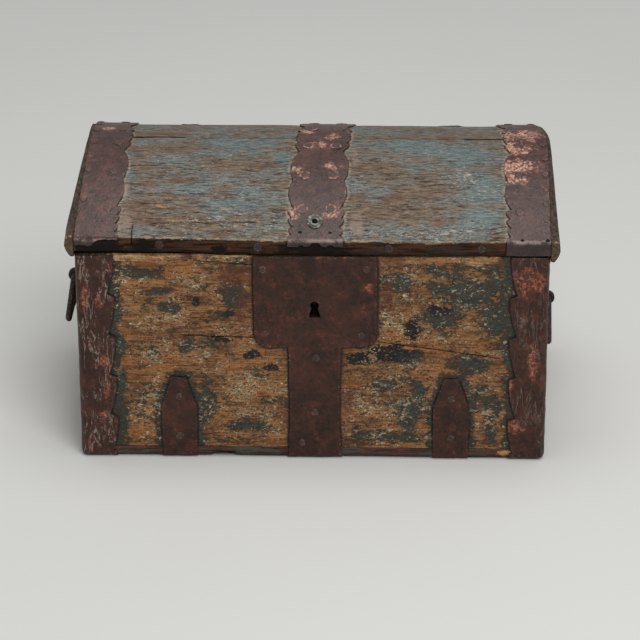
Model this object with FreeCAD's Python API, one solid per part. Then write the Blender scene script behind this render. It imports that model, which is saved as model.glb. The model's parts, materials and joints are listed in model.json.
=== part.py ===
"""Iron-bound wooden casket with a low arched lid, drop handles and a half-mortised box lock.

Millimetres. X runs along the length, Y from the front to the back, Z up; the casket stands on Z = 0.
"""
import FreeCAD, Part
import math
import os
from collections import namedtuple

from FreeCAD import Vector

# Driving dimensions: wooden box
BOX_W = 338.0            # length of the box over its boards
BOX_D = 198.0            # depth of the box over its boards
BOX_TOP = 162.0          # rim of the box above the floor
WALL = 12.0              # front, back and end boards
BOTTOM = 8.0             # bottom board, nailed on from below
EDGE_ROUND = 4.0         # worn rounding of the corners and of the bottom edges
IRON = 1.2               # thickness of all straps and plates

# Driving dimensions: lid
LID_GAP = 1.0            # daylight between the rim and the closed lid
LID_D = 199.0            # depth of the lid over its boards
LID_EDGE = 11.0          # height of the upright front and back edges
LID_RISE = 40.0          # arch above those edges
LID_RIM = 13.5           # width of the flat that comes down on the box
LID_CROWN = 10.5         # thickness of the boards at the top of the arch
BOARD_END = 169.6        # half length of the two lid boards
SEAM = 0.6               # open joint between the two lid boards
GABLE_IN = 162.0         # inner face of the lid ends
GABLE_LIP_IN = 170.6     # inner face of the lip that hangs over the box
GABLE_OUT = 177.8        # outer face at the foot of the lid end
GABLE_OUT_TOP = 172.4    # outer face at the top of the arch
GABLE_DROP = 6.0         # how far the lip hangs below the lid edge
GABLE_ROUND = 5.0        # lower corners of the lip

# Driving dimensions: ornamental lid straps
STRAP_OUTER = 170.0      # straight outer side of the two end straps
END_STRAP_W = 32.0
CENTRE_STRAP_W = 41.5
CENTRE_STRAP_X = 2.4
CENTRE_STRAP_SKEW = 0.04   # the middle strap drifts sideways as it climbs
CENTRE_FOLD = 7.2        # part of the strap that is bent down over the lid edge
END_FOLD = 10.2
FOLD_BITES = (2.2, 3.7, 2.4)   # radii of the bites in the folded end of the middle strap
OUTER_NAILS_Y = (12, 32, 49, 63, 75, 86)   # end straps, outer row of small nails, from the ridge
OUTER_NAIL_IN = 2.8
OUTER_HEAD = 0.75        # size of their heads, against the other nails
INNER_NAILS_Y = (14, 50, 81)               # end straps, inner row
INNER_NAIL_IN = 10.5
CENTRE_NAILS_Y = (17, 52, 80)              # middle strap, in pairs
CENTRE_NAIL_X = 10.0
CENTRE_HEAD = 1.25
LID_EDGE_NAILS_X = (-109, -39, 55, 121)    # nails left in the front edge of the lid
LID_EDGE_NAIL_Z = 5.5

# Half of one wavy strap side, from the ridge of the lid to its front edge, as (distance, depth) points.
# A tooth goes from its root out to a tip and curves back to the next root; a bulge rounds over a crown.
RIDGE_TEETH = [
    ((0, 3.0), (1.2, 0.8), (12, 3.6)),
    ((12, 3.6), (13.2, 0.8), (25, 5.5)),
]
BULGES = [
    ((25, 5.5), (46, 0.0), (57.5, 2.6)),
    ((57.5, 2.6), (66, 0.2), (80, 4.8)),
]
EDGE_TEETH = [
    ((80, 4.8), (81.2, 0.4), (86.5, 3.6)),
    ((86.5, 3.6), (87.5, 0.8), (92.5, 4.6)),
    ((92.5, 4.6), (93.5, 1.4), (97.5, 4.0)),
    ((97.5, 4.0), (98.5, 1.2), (106, 1.8)),
]
TOOTH_BELLY = 0.7        # bulge of the curve from a tip to the next root

# Driving dimensions: straps and plates on the box
CORNER_W = 28.0          # corner iron, tips of its scallops
CORNER_NOTCH = 5.5       # depth of the scallops
CORNER_SCALLOPS = 5
CORNER_STEP = 2.5        # height of the short step between two scallops
CORNER_BELLY = 1.2       # bulge of each scallop
CORNER_NAIL_IN = 15.0
CORNER_NAILS_Z = (148, 92, 30)
CORNER_END_NAILS_Z = (146, 94, 34)
FLAP = 26.0              # part of each strap that is folded under the bottom
TONGUE_W = 26.0
TONGUE_SHOULDER = 42.0
TONGUE_TOP = 66.0
TONGUE_TIP_W = 11.0
LEFT_TONGUE_X = -97.3
RIGHT_TONGUE_X = 101.4
TONGUE_NAILS_Z = (50, 18)

# Driving dimensions: lock plate and lock
LOCK_X = 1.9             # keyhole and lock centre
KEY_Z = 123.2
KEY_R = 3.2
KEY_FOOT_Z = 114.0
KEY_NECK = 1.9           # half width of the keyhole slot at the neck
KEY_FOOT = 4.2           # half width at the foot
PLATE_L, PLATE_R = -42.3, 47.3
PLATE_Z = 90.4
PLATE_CHAMFER = 10.0
STEM_L, STEM_R = -17.5, 21.5
STEM_WAIST = 1.3
PLATE_NAILS = [(-35.5, 152), (39.5, 152), (-34.5, 101), (36, 100), (2.6, 82), (1.9, 38), (-7.7, 13.5)]
LOCK_W = 46.0
LOCK_H = 55.0
LOCK_DEPTH = 13.0
LOCK_SHEET = 1.2
LOCK_SET = 7.3           # depth of the pocket cut into the front board
LOCK_REST = 0.2          # air between the lock and the floor of its pocket
EAR_OUT = 12.0           # ears of the lock's top plate, each side
EAR_W = 4.8
EAR_HEAD = 0.45          # size of the small nails in the ears, against the other nails
FREE = 0.3               # play around the lock's moving pieces
BOLT_Z = 149.5
BOLT_H = 5.0
BOLT_THICK = 3.8
BOLT_OFF = 6.2           # middle of the bolt from the back plate
BOLT_TAIL = 20.5         # ends of the drawn-back bolt, left of the lock centre
BOLT_STEP = 11.0
BOLT_TIP = 2.5
GUIDES = (-10.0, 6.0)    # loops that the bolt slides in, from the lock centre
GUIDE_HALF = 1.5
STAPLE_T = 2.4           # staple of the lid, above the lock centre
STAPLE_LEG = 1.6
CLENCH_R = 2.0           # riveted end of the staple, standing square on the strap
CLENCH_IN = 7.0          # its length inside the lid
CLENCH_UP = 0.6          # and outside the strap
SHANK_STOP = 4.6         # the flat shank of the staple ends this far below the strap
OVERLAP = 0.01           # by which two solids that become one run into each other
WASHER_R = 5.6
WASHER_T = 1.0
DRUM_R, DRUM_BORE, DRUM_H = 13.0, 5.5, 6.0
KEY_PIN_R = 1.6
WARD_SLOT = 1.5          # half width of the key's way through the wards
PILLAR_R = 2.0
PILLARS = (205, 335)     # degrees round the key pin
SPRING_R, SPRING_T, SPRING_H = 16.5, 0.8, 6.0
SPRING_FROM, SPRING_TO = 100, 215

# Driving dimensions: hinges and handles
HINGE_W = 30.0
KNUCKLE_R = 4.0
PIN_R = 1.98
PIN_FIT = 0.02           # pin in the two knuckles that hold it
PIN_PLAY = 0.07          # pin in the knuckle that turns
KNUCKLE_OFF = 5.0        # hinge axis behind the back board
KNUCKLE_SLIT = 0.4
HINGE_NAILS_Z = (22, 62, 102, 140)
LEAF_TOP = 36.0          # lid leaf, measured forward from the lid's back edge
LEAF_SHOULDER = 0.6      # share of that length where the leaf starts to narrow
LEAF_NAIL_X = 8.0
LEAF_NAIL_IN, LEAF_TIP_NAIL_IN = 11.0, 28.0
EYE_R, EYE_BORE = 4.9, 2.5
EYE_HALF = 1.7           # half width of the eye and of its square shank
EYE_CLENCH = 2.0         # shank left standing inside the rove
ROVE_HALF = 5.0
EYE_Y = 34.0
# The two handles were not set alike: height of the axis, its distance outside the end board,
# how much further out the grip hangs, and how far the handle sits towards the back
HandlePlace = namedtuple("HandlePlace", "height out lean back")
LEFT_HANDLE = HandlePlace(118.0, 8.5, 4.5, 0.0)
RIGHT_HANDLE = HandlePlace(97.0, 4.6, 0.6, 12.0)
BOX_X = 3.18             # moves the finished casket so that its footprint with both handles is centred
BAIL_R = 2.4
BAIL_DROP = 30.0
BAIL_HALF = 45.0
BAIL_END = 28.0
BAIL_SHOULDER = 40.0
BAIL_BEND = 4.2
BAIL_FLARE = 3.5
JOURNAL_END = 37.0       # round ends of the bar, in the eyes
GRIP_R = 3.1
GRIP_NECK = 0.2          # by which the grip starts thinner than the bar
GRIP_HALF = 26.0
GRIP_STEPS = 4

# Nails: square forged shanks under eight-sided heads
HEAD_R = 2.9
HEAD_TOP_R = 1.2
HEAD_H = 1.4
SHANK = 2.0
SHANK_PLAY = 0.05
NAIL_LEN = 10.0
LONG_NAIL = 17.0
SPRIG = 2.2
SPRIG_LEN = 32.0
CORNER_SPRIGS_Z = (50, 80, 112, 135)
BOTTOM_SPRIGS_X = (-132, -60, 60, 132)
BOTTOM_SPRIGS_Y = (-50, 0, 50)

# Derived planes; the box stands so that the whole casket is centred on the origin
FRONT_PROUD = IRON + HEAD_H
BACK_PROUD = KNUCKLE_OFF + KNUCKLE_R
BOX_Y = (FRONT_PROUD - BACK_PROUD) / 2
FRONT = BOX_Y - BOX_D / 2
BACK = BOX_Y + BOX_D / 2
HALF_W = BOX_W / 2
WALL_Z = IRON + BOTTOM
LID_Z = BOX_TOP + LID_GAP
LID_HALF = LID_D / 2
LID_TOP = LID_Z + LID_EDGE + LID_RISE
ARCH_R = (LID_HALF ** 2 + LID_RISE ** 2) / (2 * LID_RISE)
ARCH_Z = LID_TOP - ARCH_R
HOLLOW_HALF = LID_HALF - LID_RIM
HOLLOW_RISE = LID_TOP - LID_CROWN - LID_Z
HOLLOW_R = (HOLLOW_HALF ** 2 + HOLLOW_RISE ** 2) / (2 * HOLLOW_RISE)
HOLLOW_Z = LID_TOP - LID_CROWN - HOLLOW_R
HINGE_Y = BACK + KNUCKLE_OFF
HINGE_Z = BOX_TOP + LID_GAP / 2
POCKET_Y = FRONT + WALL - LOCK_SET
LOCK_BACK = POCKET_Y + LOCK_REST + LOCK_DEPTH
BOLT_Y = LOCK_BACK - LOCK_SHEET - BOLT_OFF
LOCK_TOP = BOX_TOP
SKIN_DEPTH = EDGE_ROUND + IRON + 0.2   # just past the rounding of the skin


# Helpers

def box(x0, x1, y0, y1, z0, z1):
    return Part.makeBox(x1 - x0, y1 - y0, z1 - z0, Vector(x0, y0, z0))


def line(a, b):
    return Part.LineSegment(a, b).toShape()


def arc(a, via, b):
    return Part.Arc(a, via, b).toShape()


def prism(edges, along):
    """Solid from a closed chain of edges, pushed along a vector."""
    return Part.Face(Part.Wire(edges)).extrude(along)


def polygon_prism(points, along):
    return Part.Face(Part.makePolygon(points + points[:1])).extrude(along)


def mirrored(shape):
    return shape.mirror(Vector(0, 0, 0), Vector(1, 0, 0))


def rounded_path(points, radius):
    """Wire through the points with every inner corner bent on the same radius."""
    edges = []
    start = points[0]
    for before, corner, after in zip(points, points[1:], points[2:]):
        back = (before - corner).normalize()
        ahead = (after - corner).normalize()
        half = back.getAngle(ahead) / 2
        reach = radius / math.tan(half)
        middle = (back + ahead).normalize()
        a = corner + back * reach
        b = corner + ahead * reach
        via = corner + middle * (radius / math.sin(half) - radius)
        edges.append(line(start, a))
        edges.append(arc(a, via, b))
        start = b
    edges.append(line(start, points[-1]))
    return Part.Wire(edges)


# Nails

def octagon(radius, z):
    corners = [math.radians(22.5 + 45 * i) for i in range(9)]
    return Part.makePolygon([Vector(radius * math.cos(a), radius * math.sin(a), z) for a in corners])


def nail(at, out, length=NAIL_LEN, head=1.0):
    """Forged nail: head on the surface at a point, shank driven against the outward direction."""
    rim = octagon(HEAD_R * head, 0)
    top = octagon(HEAD_TOP_R * head, HEAD_H * head)
    cap = Part.makeLoft([rim, top], True, True)
    shank = box(-SHANK / 2, SHANK / 2, -SHANK / 2, SHANK / 2, -length, 0)
    body = cap.fuse(shank)
    body.Placement = FreeCAD.Placement(at, FreeCAD.Rotation(Vector(0, 0, 1), out))
    return body


def nail_hole(at, out, length=NAIL_LEN):
    half = SHANK / 2 + SHANK_PLAY
    hole = box(-half, half, -half, half, -length - SHANK_PLAY, IRON)
    hole.Placement = FreeCAD.Placement(at, FreeCAD.Rotation(Vector(0, 0, 1), out))
    return hole


def nails(spots):
    return Part.makeCompound([nail(*spot) for spot in spots])


def drilled(shape, spots):
    return shape.cut([nail_hole(*spot[:3]) for spot in spots])


def front_spots(places, length=NAIL_LEN):
    return [(Vector(x, FRONT - IRON, z), Vector(0, -1, 0), length) for x, z in places]


def back_spots(places, length=NAIL_LEN):
    return [(Vector(x, BACK + IRON, z), Vector(0, 1, 0), length) for x, z in places]


def lid_spots(places, length=NAIL_LEN, head=1.0):
    """Nails standing square on the straps of the arched lid."""
    spots = []
    for x, y in places:
        out = Vector(0, y / ARCH_R, math.sqrt(1 - (y / ARCH_R) ** 2))
        at = Vector(x, BOX_Y, ARCH_Z) + out * (ARCH_R + IRON)
        spots.append((at, out, length, head))
    return spots


# Wooden box

def rounded_box(grow):
    """Envelope of the box: boards when grow is 0, outside of the irons when it is their thickness."""
    body = box(-HALF_W - grow, HALF_W + grow, FRONT - grow, BACK + grow, IRON - grow, BOX_TOP)
    outer = []
    for edge in body.Edges:
        middle = edge.CenterOfMass
        upright = abs(edge.BoundBox.ZLength) > 1
        if upright or abs(middle.z - (IRON - grow)) < 0.01:
            outer.append(edge)
    return body.makeFillet(EDGE_ROUND + grow, outer)


def keyhole(y0, y1):
    along = Vector(0, y1 - y0, 0)
    hole = Part.makeCylinder(KEY_R, y1 - y0, Vector(LOCK_X, y0, KEY_Z), Vector(0, 1, 0))
    slot = polygon_prism([
        Vector(LOCK_X - KEY_NECK, y0, KEY_Z),
        Vector(LOCK_X + KEY_NECK, y0, KEY_Z),
        Vector(LOCK_X + KEY_FOOT, y0, KEY_FOOT_Z),
        Vector(LOCK_X - KEY_FOOT, y0, KEY_FOOT_Z),
    ], along)
    return hole.fuse(slot)


def lock_pocket():
    half = LOCK_W / 2 + FREE
    low = LOCK_TOP - LOCK_H - FREE
    room = box(LOCK_X - half, LOCK_X + half, POCKET_Y, FRONT + WALL + 1, low, LOCK_TOP + 1)
    reach = LOCK_W / 2 + EAR_OUT + FREE
    ear_front = FRONT + WALL - EAR_W - FREE
    ears = box(LOCK_X - reach, LOCK_X + reach, ear_front, FRONT + WALL + 1,
               LOCK_TOP - LOCK_SHEET, LOCK_TOP + 1)
    return room.fuse(ears)


def box_boards():
    wood = rounded_box(0)
    far = BOX_W
    inner_front = FRONT + WALL
    inner_back = BACK - WALL
    inner_end = HALF_W - WALL
    front = wood.common(box(-far, far, FRONT - 1, inner_front, WALL_Z, BOX_TOP + 1))
    front = front.cut([lock_pocket(), keyhole(FRONT - 1, POCKET_Y + 1)])
    back = wood.common(box(-far, far, inner_back, BACK + 1, WALL_Z, BOX_TOP + 1))
    right = box(inner_end, HALF_W, inner_front, inner_back, WALL_Z, BOX_TOP)
    left = mirrored(right.cut(eye_holes(LEFT_HANDLE)))
    right = right.cut(eye_holes(RIGHT_HANDLE))
    bottom = wood.common(box(-far, far, FRONT - 1, BACK + 1, 0, WALL_Z))
    return {
        "front_board": front,
        "back_board": back,
        "left_end_board": left,
        "right_end_board": right,
        "bottom_board": bottom,
    }


def sprig(at, along):
    """Headless nail that joins two boards, driven flush."""
    body = box(-SPRIG / 2, SPRIG / 2, -SPRIG / 2, SPRIG / 2, 0, SPRIG_LEN)
    body.Placement = FreeCAD.Placement(at, FreeCAD.Rotation(Vector(0, 0, 1), along))
    return body


def corner_sprigs():
    x = HALF_W - WALL / 2
    pieces = []
    for side in (-x, x):
        for z in CORNER_SPRIGS_Z:
            pieces.append(sprig(Vector(side, FRONT, z), Vector(0, 1, 0)))
            pieces.append(sprig(Vector(side, BACK, z), Vector(0, -1, 0)))
    return Part.makeCompound(pieces)


def bottom_sprigs():
    up = Vector(0, 0, 1)
    pieces = []
    for x in BOTTOM_SPRIGS_X:
        for y in (FRONT + WALL / 2, BACK - WALL / 2):
            pieces.append(sprig(Vector(x, y, IRON), up))
    for x in (-HALF_W + WALL / 2, HALF_W - WALL / 2):
        for y in BOTTOM_SPRIGS_Y:
            pieces.append(sprig(Vector(x, BOX_Y + y, IRON), up))
    return Part.makeCompound(pieces)


# Straps and plates on the box, all cut from one skin that follows the boards round their edges

def scalloped_flange(width, top):
    """Upright flange from 0 to its width; the free side falls inward in scallops, then steps out."""
    pitch = top / CORNER_SCALLOPS
    tip, notch = width, width - CORNER_NOTCH
    edges = [line(Vector(0, 0, 0), Vector(0, 0, top)), line(Vector(0, 0, top), Vector(tip, 0, top))]
    for i in range(CORNER_SCALLOPS):
        high = Vector(tip, 0, top - i * pitch)
        low = Vector(notch, 0, top - (i + 1) * pitch + CORNER_STEP)
        belly = (high + low) * 0.5 + Vector(CORNER_BELLY, 0, 0)
        edges.append(arc(high, belly, low))
        last = i == CORNER_SCALLOPS - 1
        foot = Vector(notch if last else tip, 0, top - (i + 1) * pitch)
        edges.append(line(low, foot))
    edges.append(line(Vector(notch, 0, 0), Vector(0, 0, 0)))
    return prism(edges, Vector(0, SKIN_DEPTH, 0))


def corner_iron(skin, side, back):
    """Angle iron at one upright corner, folded under the bottom."""
    flange = scalloped_flange(CORNER_W, BOX_TOP)
    end_flange = flange.copy()
    end_flange.rotate(Vector(0, 0, 0), Vector(0, 0, 1), 90)
    end_flange = mirrored(end_flange)
    foot = box(0, FLAP, 0, FLAP, 0, SKIN_DEPTH)
    region = flange.fuse([end_flange, foot])
    if side > 0:
        region = mirrored(region)
    if back:
        region = region.mirror(Vector(0, 0, 0), Vector(0, 1, 0))
    y = BACK + IRON if back else FRONT - IRON
    region.translate(Vector(side * (HALF_W + IRON), y, 0))
    return skin.common(region)


def corner_spots(side, back):
    """Nails of one corner iron: on its broad flange and on its end flange."""
    places = [(side * (HALF_W - CORNER_NAIL_IN), z) for z in CORNER_NAILS_Z]
    broad = back_spots(places) if back else front_spots(places)
    x = side * (HALF_W + IRON)
    y = BACK - CORNER_NAIL_IN if back else FRONT + CORNER_NAIL_IN
    out = Vector(side, 0, 0)
    ends = [(Vector(x, y, z), out, NAIL_LEN) for z in CORNER_END_NAILS_Z]
    return broad + ends


def lock_plate(skin):
    """T-shaped plate round the keyhole; its stem runs down the front and under the bottom."""
    y = FRONT - IRON - 0.1

    def at(x, z):
        return Vector(x, y, z)

    def half_outline(side_x, stem_x, inward):
        """From the top corner round the clipped lower corner and down one side of the stem."""
        corner = at(side_x, PLATE_Z + PLATE_CHAMFER)
        clip = at(side_x + inward * PLATE_CHAMFER * 0.35, PLATE_Z + PLATE_CHAMFER * 0.35)
        shelf = at(side_x + inward * PLATE_CHAMFER, PLATE_Z)
        waist = at(stem_x + inward * STEM_WAIST, PLATE_Z / 2)
        return [
            line(at(side_x, BOX_TOP), corner),
            arc(corner, clip, shelf),
            line(shelf, at(stem_x, PLATE_Z)),
            arc(at(stem_x, PLATE_Z), waist, at(stem_x, 0)),
        ]

    ends = [line(at(PLATE_L, BOX_TOP), at(PLATE_R, BOX_TOP)), line(at(STEM_L, 0), at(STEM_R, 0))]
    edges = ends + half_outline(PLATE_L, STEM_L, 1) + half_outline(PLATE_R, STEM_R, -1)
    face = prism(Part.__sortEdges__(edges), Vector(0, SKIN_DEPTH, 0))
    foot = box(STEM_L, STEM_R, FRONT - IRON, FRONT + FLAP, 0, SKIN_DEPTH)
    return skin.common(face.fuse(foot)).cut(keyhole(FRONT - IRON - 1, FRONT + 1))


def tongue(skin, x):
    """Short strap from under the bottom up the front, drawn in to a blunt tip."""
    half, tip = TONGUE_W / 2, TONGUE_TIP_W / 2
    y = FRONT - IRON - 0.1
    face = polygon_prism([
        Vector(x - half, y, 0),
        Vector(x - half, y, TONGUE_SHOULDER),
        Vector(x - tip, y, TONGUE_TOP),
        Vector(x + tip, y, TONGUE_TOP),
        Vector(x + half, y, TONGUE_SHOULDER),
        Vector(x + half, y, 0),
    ], Vector(0, SKIN_DEPTH, 0))
    foot = box(x - half, x + half, FRONT - IRON, FRONT + FLAP, 0, SKIN_DEPTH)
    return skin.common(face.fuse(foot))


def tongue_spots(x):
    return front_spots([(x, z) for z in TONGUE_NAILS_Z])


# Hinges

def knuckle(x0, x1):
    return Part.makeCylinder(KNUCKLE_R, x1 - x0, Vector(x0, HINGE_Y, HINGE_Z), Vector(1, 0, 0))


def pin_bore(x, play):
    start = Vector(x - HINGE_W / 2 - 1, HINGE_Y, HINGE_Z)
    return Part.makeCylinder(PIN_R + play, HINGE_W + 2, start, Vector(1, 0, 0))


def hinge_third(x, part):
    """Ends of one of the three knuckles of a hinge, counted from the left."""
    third = HINGE_W / 3
    left = x - HINGE_W / 2 + part * third
    return left + KNUCKLE_SLIT / 2, left + third - KNUCKLE_SLIT / 2


def hinge_strap(skin, x):
    """Back strap of a hinge: from under the bottom up the back, with the two outer knuckles."""
    half = HINGE_W / 2
    top = HINGE_Z - KNUCKLE_R - KNUCKLE_SLIT
    face = box(x - half, x + half, BACK - SKIN_DEPTH, BACK + IRON, 0, top)
    foot = box(x - half, x + half, BACK - FLAP, BACK + IRON, 0, SKIN_DEPTH)
    low = HINGE_Z - KNUCKLE_R
    pieces = []
    for part in (0, 2):
        x0, x1 = hinge_third(x, part)
        pieces.append(knuckle(x0, x1))
        pieces.append(box(x0, x1, BACK, HINGE_Y, low, low + 2 * IRON))
        pieces.append(box(x0, x1, BACK, BACK + IRON, top - 1, low + 2 * IRON))
    strap = skin.common(face.fuse(foot)).fuse(pieces).removeSplitter()
    return strap.cut(pin_bore(x, PIN_FIT))


def lid_leaf(shell, x):
    """Lid half of a hinge: bent over the back edge of the lid, drawn to a tip, with one knuckle."""
    half, tip = HINGE_W / 2, TONGUE_TIP_W / 2
    edge = BOX_Y + LID_HALF
    shoulder = edge - LEAF_TOP * LEAF_SHOULDER
    outline = polygon_prism([
        Vector(x - half, edge + IRON + 1, LID_Z),
        Vector(x - half, shoulder, LID_Z),
        Vector(x - tip, edge - LEAF_TOP, LID_Z),
        Vector(x + tip, edge - LEAF_TOP, LID_Z),
        Vector(x + half, shoulder, LID_Z),
        Vector(x + half, edge + IRON + 1, LID_Z),
    ], Vector(0, 0, LID_TOP))
    low = HINGE_Z + KNUCKLE_R + KNUCKLE_SLIT
    leaf = shell.common(outline).cut(box(x - half - 1, x + half + 1, edge - 1, edge + 3, 0, low))
    x0, x1 = hinge_third(x, 1)
    top = HINGE_Z + KNUCKLE_R
    web = box(x0, x1, edge, HINGE_Y, top - 2 * IRON, top)
    neck = box(x0, x1, edge, edge + IRON, top - 2 * IRON, low + 1)
    leaf = leaf.fuse([knuckle(x0, x1), web, neck]).removeSplitter()
    return leaf.cut(pin_bore(x, PIN_PLAY))


def hinge_pin(x):
    half = HINGE_W / 2
    along = Vector(1, 0, 0)
    pin = Part.makeCylinder(PIN_R, HINGE_W, Vector(x - half, HINGE_Y, HINGE_Z), along)
    heads = [Part.makeCylinder(PIN_R + 1, 1, Vector(end, HINGE_Y, HINGE_Z), along)
             for end in (x - half - 1 + KNUCKLE_SLIT / 2, x + half - KNUCKLE_SLIT / 2)]
    return pin.fuse(heads)


def hinge_spots(x):
    return back_spots([(x, z) for z in HINGE_NAILS_Z])


def leaf_spots(x):
    pair = LID_HALF - LEAF_NAIL_IN
    tip = LID_HALF - LEAF_TIP_NAIL_IN
    return lid_spots([(x - LEAF_NAIL_X, pair), (x + LEAF_NAIL_X, pair), (x, tip)])


# Lid

def lid_profile(grow, x0, x1, low=LID_Z, corner=0.0):
    """Solid below the arch between two X planes; grow adds the thickness of a strap."""
    half = LID_HALF + grow
    radius = ARCH_R + grow
    spring = ARCH_Z + math.sqrt(radius ** 2 - half ** 2)
    left, right = BOX_Y - half, BOX_Y + half

    def at(y, z):
        return Vector(x0, y, z)

    edges = [
        line(at(left, low + corner), at(left, spring)),
        arc(at(left, spring), at(BOX_Y, ARCH_Z + radius), at(right, spring)),
        line(at(right, spring), at(right, low + corner)),
    ]
    if corner:
        inset = corner * (1 - math.sqrt(0.5))
        edges.append(arc(at(right, low + corner), at(right - inset, low + inset), at(right - corner, low)))
        edges.append(line(at(right - corner, low), at(left + corner, low)))
        edges.append(arc(at(left + corner, low), at(left + inset, low + inset), at(left, low + corner)))
    else:
        edges.append(line(at(right, low), at(left, low)))
    return prism(edges, Vector(x1 - x0, 0, 0))


def lid_hollow(x0, x1):
    a = Vector(x0, BOX_Y - HOLLOW_HALF, LID_Z)
    b = Vector(x0, BOX_Y + HOLLOW_HALF, LID_Z)
    top = Vector(x0, BOX_Y, HOLLOW_Z + HOLLOW_R)
    return prism([arc(a, top, b), line(b, a)], Vector(x1 - x0, 0, 0))


def lid_vault():
    """Both lid boards in one, as laid on the ledges of the lid ends."""
    return lid_profile(0, -BOARD_END, BOARD_END).cut(lid_hollow(-BOARD_END, BOARD_END))


def lid_boards(vault):
    far = BOX_W
    gap = SEAM / 2
    front = vault.common(box(-far, far, FRONT - far, BOX_Y - gap, LID_Z, LID_TOP + 1))
    rear = vault.common(box(-far, far, BOX_Y + gap, BACK + far, LID_Z, LID_TOP + 1))
    return front, rear


def right_gable(vault):
    """Arched end of the lid: ledges under the boards, a lip over the box, tapering towards the top."""
    low = LID_Z - GABLE_DROP
    panel = lid_profile(0, GABLE_IN, GABLE_OUT, low, GABLE_ROUND)
    y = BOX_Y - LID_D
    outside = polygon_prism([
        Vector(GABLE_OUT, y, LID_Z),
        Vector(GABLE_OUT + 1, y, LID_Z),
        Vector(GABLE_OUT + 1, y, LID_TOP + 1),
        Vector(GABLE_OUT_TOP, y, LID_TOP + 1),
    ], Vector(0, 2 * LID_D, 0))
    rebate = box(0, GABLE_LIP_IN, y, y + 2 * LID_D, low - 1, LID_Z)
    return panel.cut([vault, rebate, outside])


def wavy_side(tip_x, inward, skew=0.0):
    """Plan edges of one strap side, alike in front of and behind the ridge, and its two ends."""

    def half(sign):
        def at(point):
            y = sign * point[0]
            return Vector(tip_x + inward * point[1] + skew * (y + LID_HALF), BOX_Y + y, 0)

        edges = [arc(at(start), at(crown), at(end)) for start, crown, end in BULGES]
        for root, tip, following in RIDGE_TEETH + EDGE_TEETH:
            belly = (at(tip) + at(following)) * 0.5 - Vector(inward * TOOTH_BELLY, 0, 0)
            edges.append(line(at(root), at(tip)))
            edges.append(arc(at(tip), belly, at(following)))
        return edges, at(EDGE_TEETH[-1][2])

    front_edges, front = half(-1)
    back_edges, back = half(1)
    return front_edges + back_edges, front, back


def straight_side(x):
    end = EDGE_TEETH[-1][2][0]
    front, back = Vector(x, BOX_Y - end, 0), Vector(x, BOX_Y + end, 0)
    return [line(front, back)], front, back


def strap_prism(one, other):
    """Tall prism over the plan of a strap between two sides."""
    edges = one[0] + other[0] + [line(one[1], other[1]), line(one[2], other[2])]
    return prism(Part.__sortEdges__(edges), Vector(0, 0, LID_TOP + IRON + 1))


def below_fold(fold):
    """Everything under the folded ends of a strap."""
    return box(-BOX_W, BOX_W, -BOX_W, BOX_W, 0, LID_Z + LID_EDGE - fold)


def fold_bites():
    """Scallops along the folded ends of the middle strap, one of them in the middle."""
    low = LID_Z + LID_EDGE - CENTRE_FOLD
    bites = []
    for i, radius in enumerate(FOLD_BITES):
        start = Vector(CENTRE_STRAP_X + (i - 1) * CENTRE_STRAP_W / 4, -BOX_D, low)
        bites.append(Part.makeCylinder(radius, 2 * BOX_D, start, Vector(0, 1, 0)))
    return bites


def lid_straps(shell):
    """Ornamental straps bent over the arch from edge to edge and folded down at both ends."""
    inner = STRAP_OUTER - END_STRAP_W
    left = strap_prism(straight_side(-STRAP_OUTER), wavy_side(-inner, -1))
    right = strap_prism(straight_side(STRAP_OUTER), wavy_side(inner, 1))
    half = CENTRE_STRAP_W / 2
    centre = strap_prism(wavy_side(CENTRE_STRAP_X - half, 1, CENTRE_STRAP_SKEW),
                         wavy_side(CENTRE_STRAP_X + half, -1, CENTRE_STRAP_SKEW))
    return {
        "left_lid_strap": shell.common(left).cut(below_fold(END_FOLD)),
        "right_lid_strap": shell.common(right).cut(below_fold(END_FOLD)),
        "centre_lid_strap": shell.common(centre).cut([below_fold(CENTRE_FOLD)] + fold_bites()),
    }


def end_strap_spots(side):
    outer_x = side * (STRAP_OUTER - OUTER_NAIL_IN)
    inner_x = side * (STRAP_OUTER - END_STRAP_W + INNER_NAIL_IN)
    outer = [(outer_x, sign * y) for y in OUTER_NAILS_Y for sign in (-1, 1)]
    inner = [(inner_x, sign * y) for y in INNER_NAILS_Y for sign in (-1, 1)]
    return lid_spots(outer, LONG_NAIL, OUTER_HEAD) + lid_spots(inner)


def centre_strap_spots():
    places = []
    for y in [sign * y for y in CENTRE_NAILS_Y for sign in (-1, 1)]:
        x = CENTRE_STRAP_X + CENTRE_STRAP_SKEW * (y + LID_HALF)
        places += [(x - CENTRE_NAIL_X, y), (x + CENTRE_NAIL_X, y)]
    return lid_spots(places, head=CENTRE_HEAD)


def lid_edge_spots():
    """Nails left in the front edge of the lid, between the straps."""
    y = BOX_Y - LID_HALF
    out = Vector(0, -1, 0)
    return [(Vector(x, y, LID_Z + LID_EDGE_NAIL_Z), out, NAIL_LEN) for x in LID_EDGE_NAILS_X]


# Lock

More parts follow.
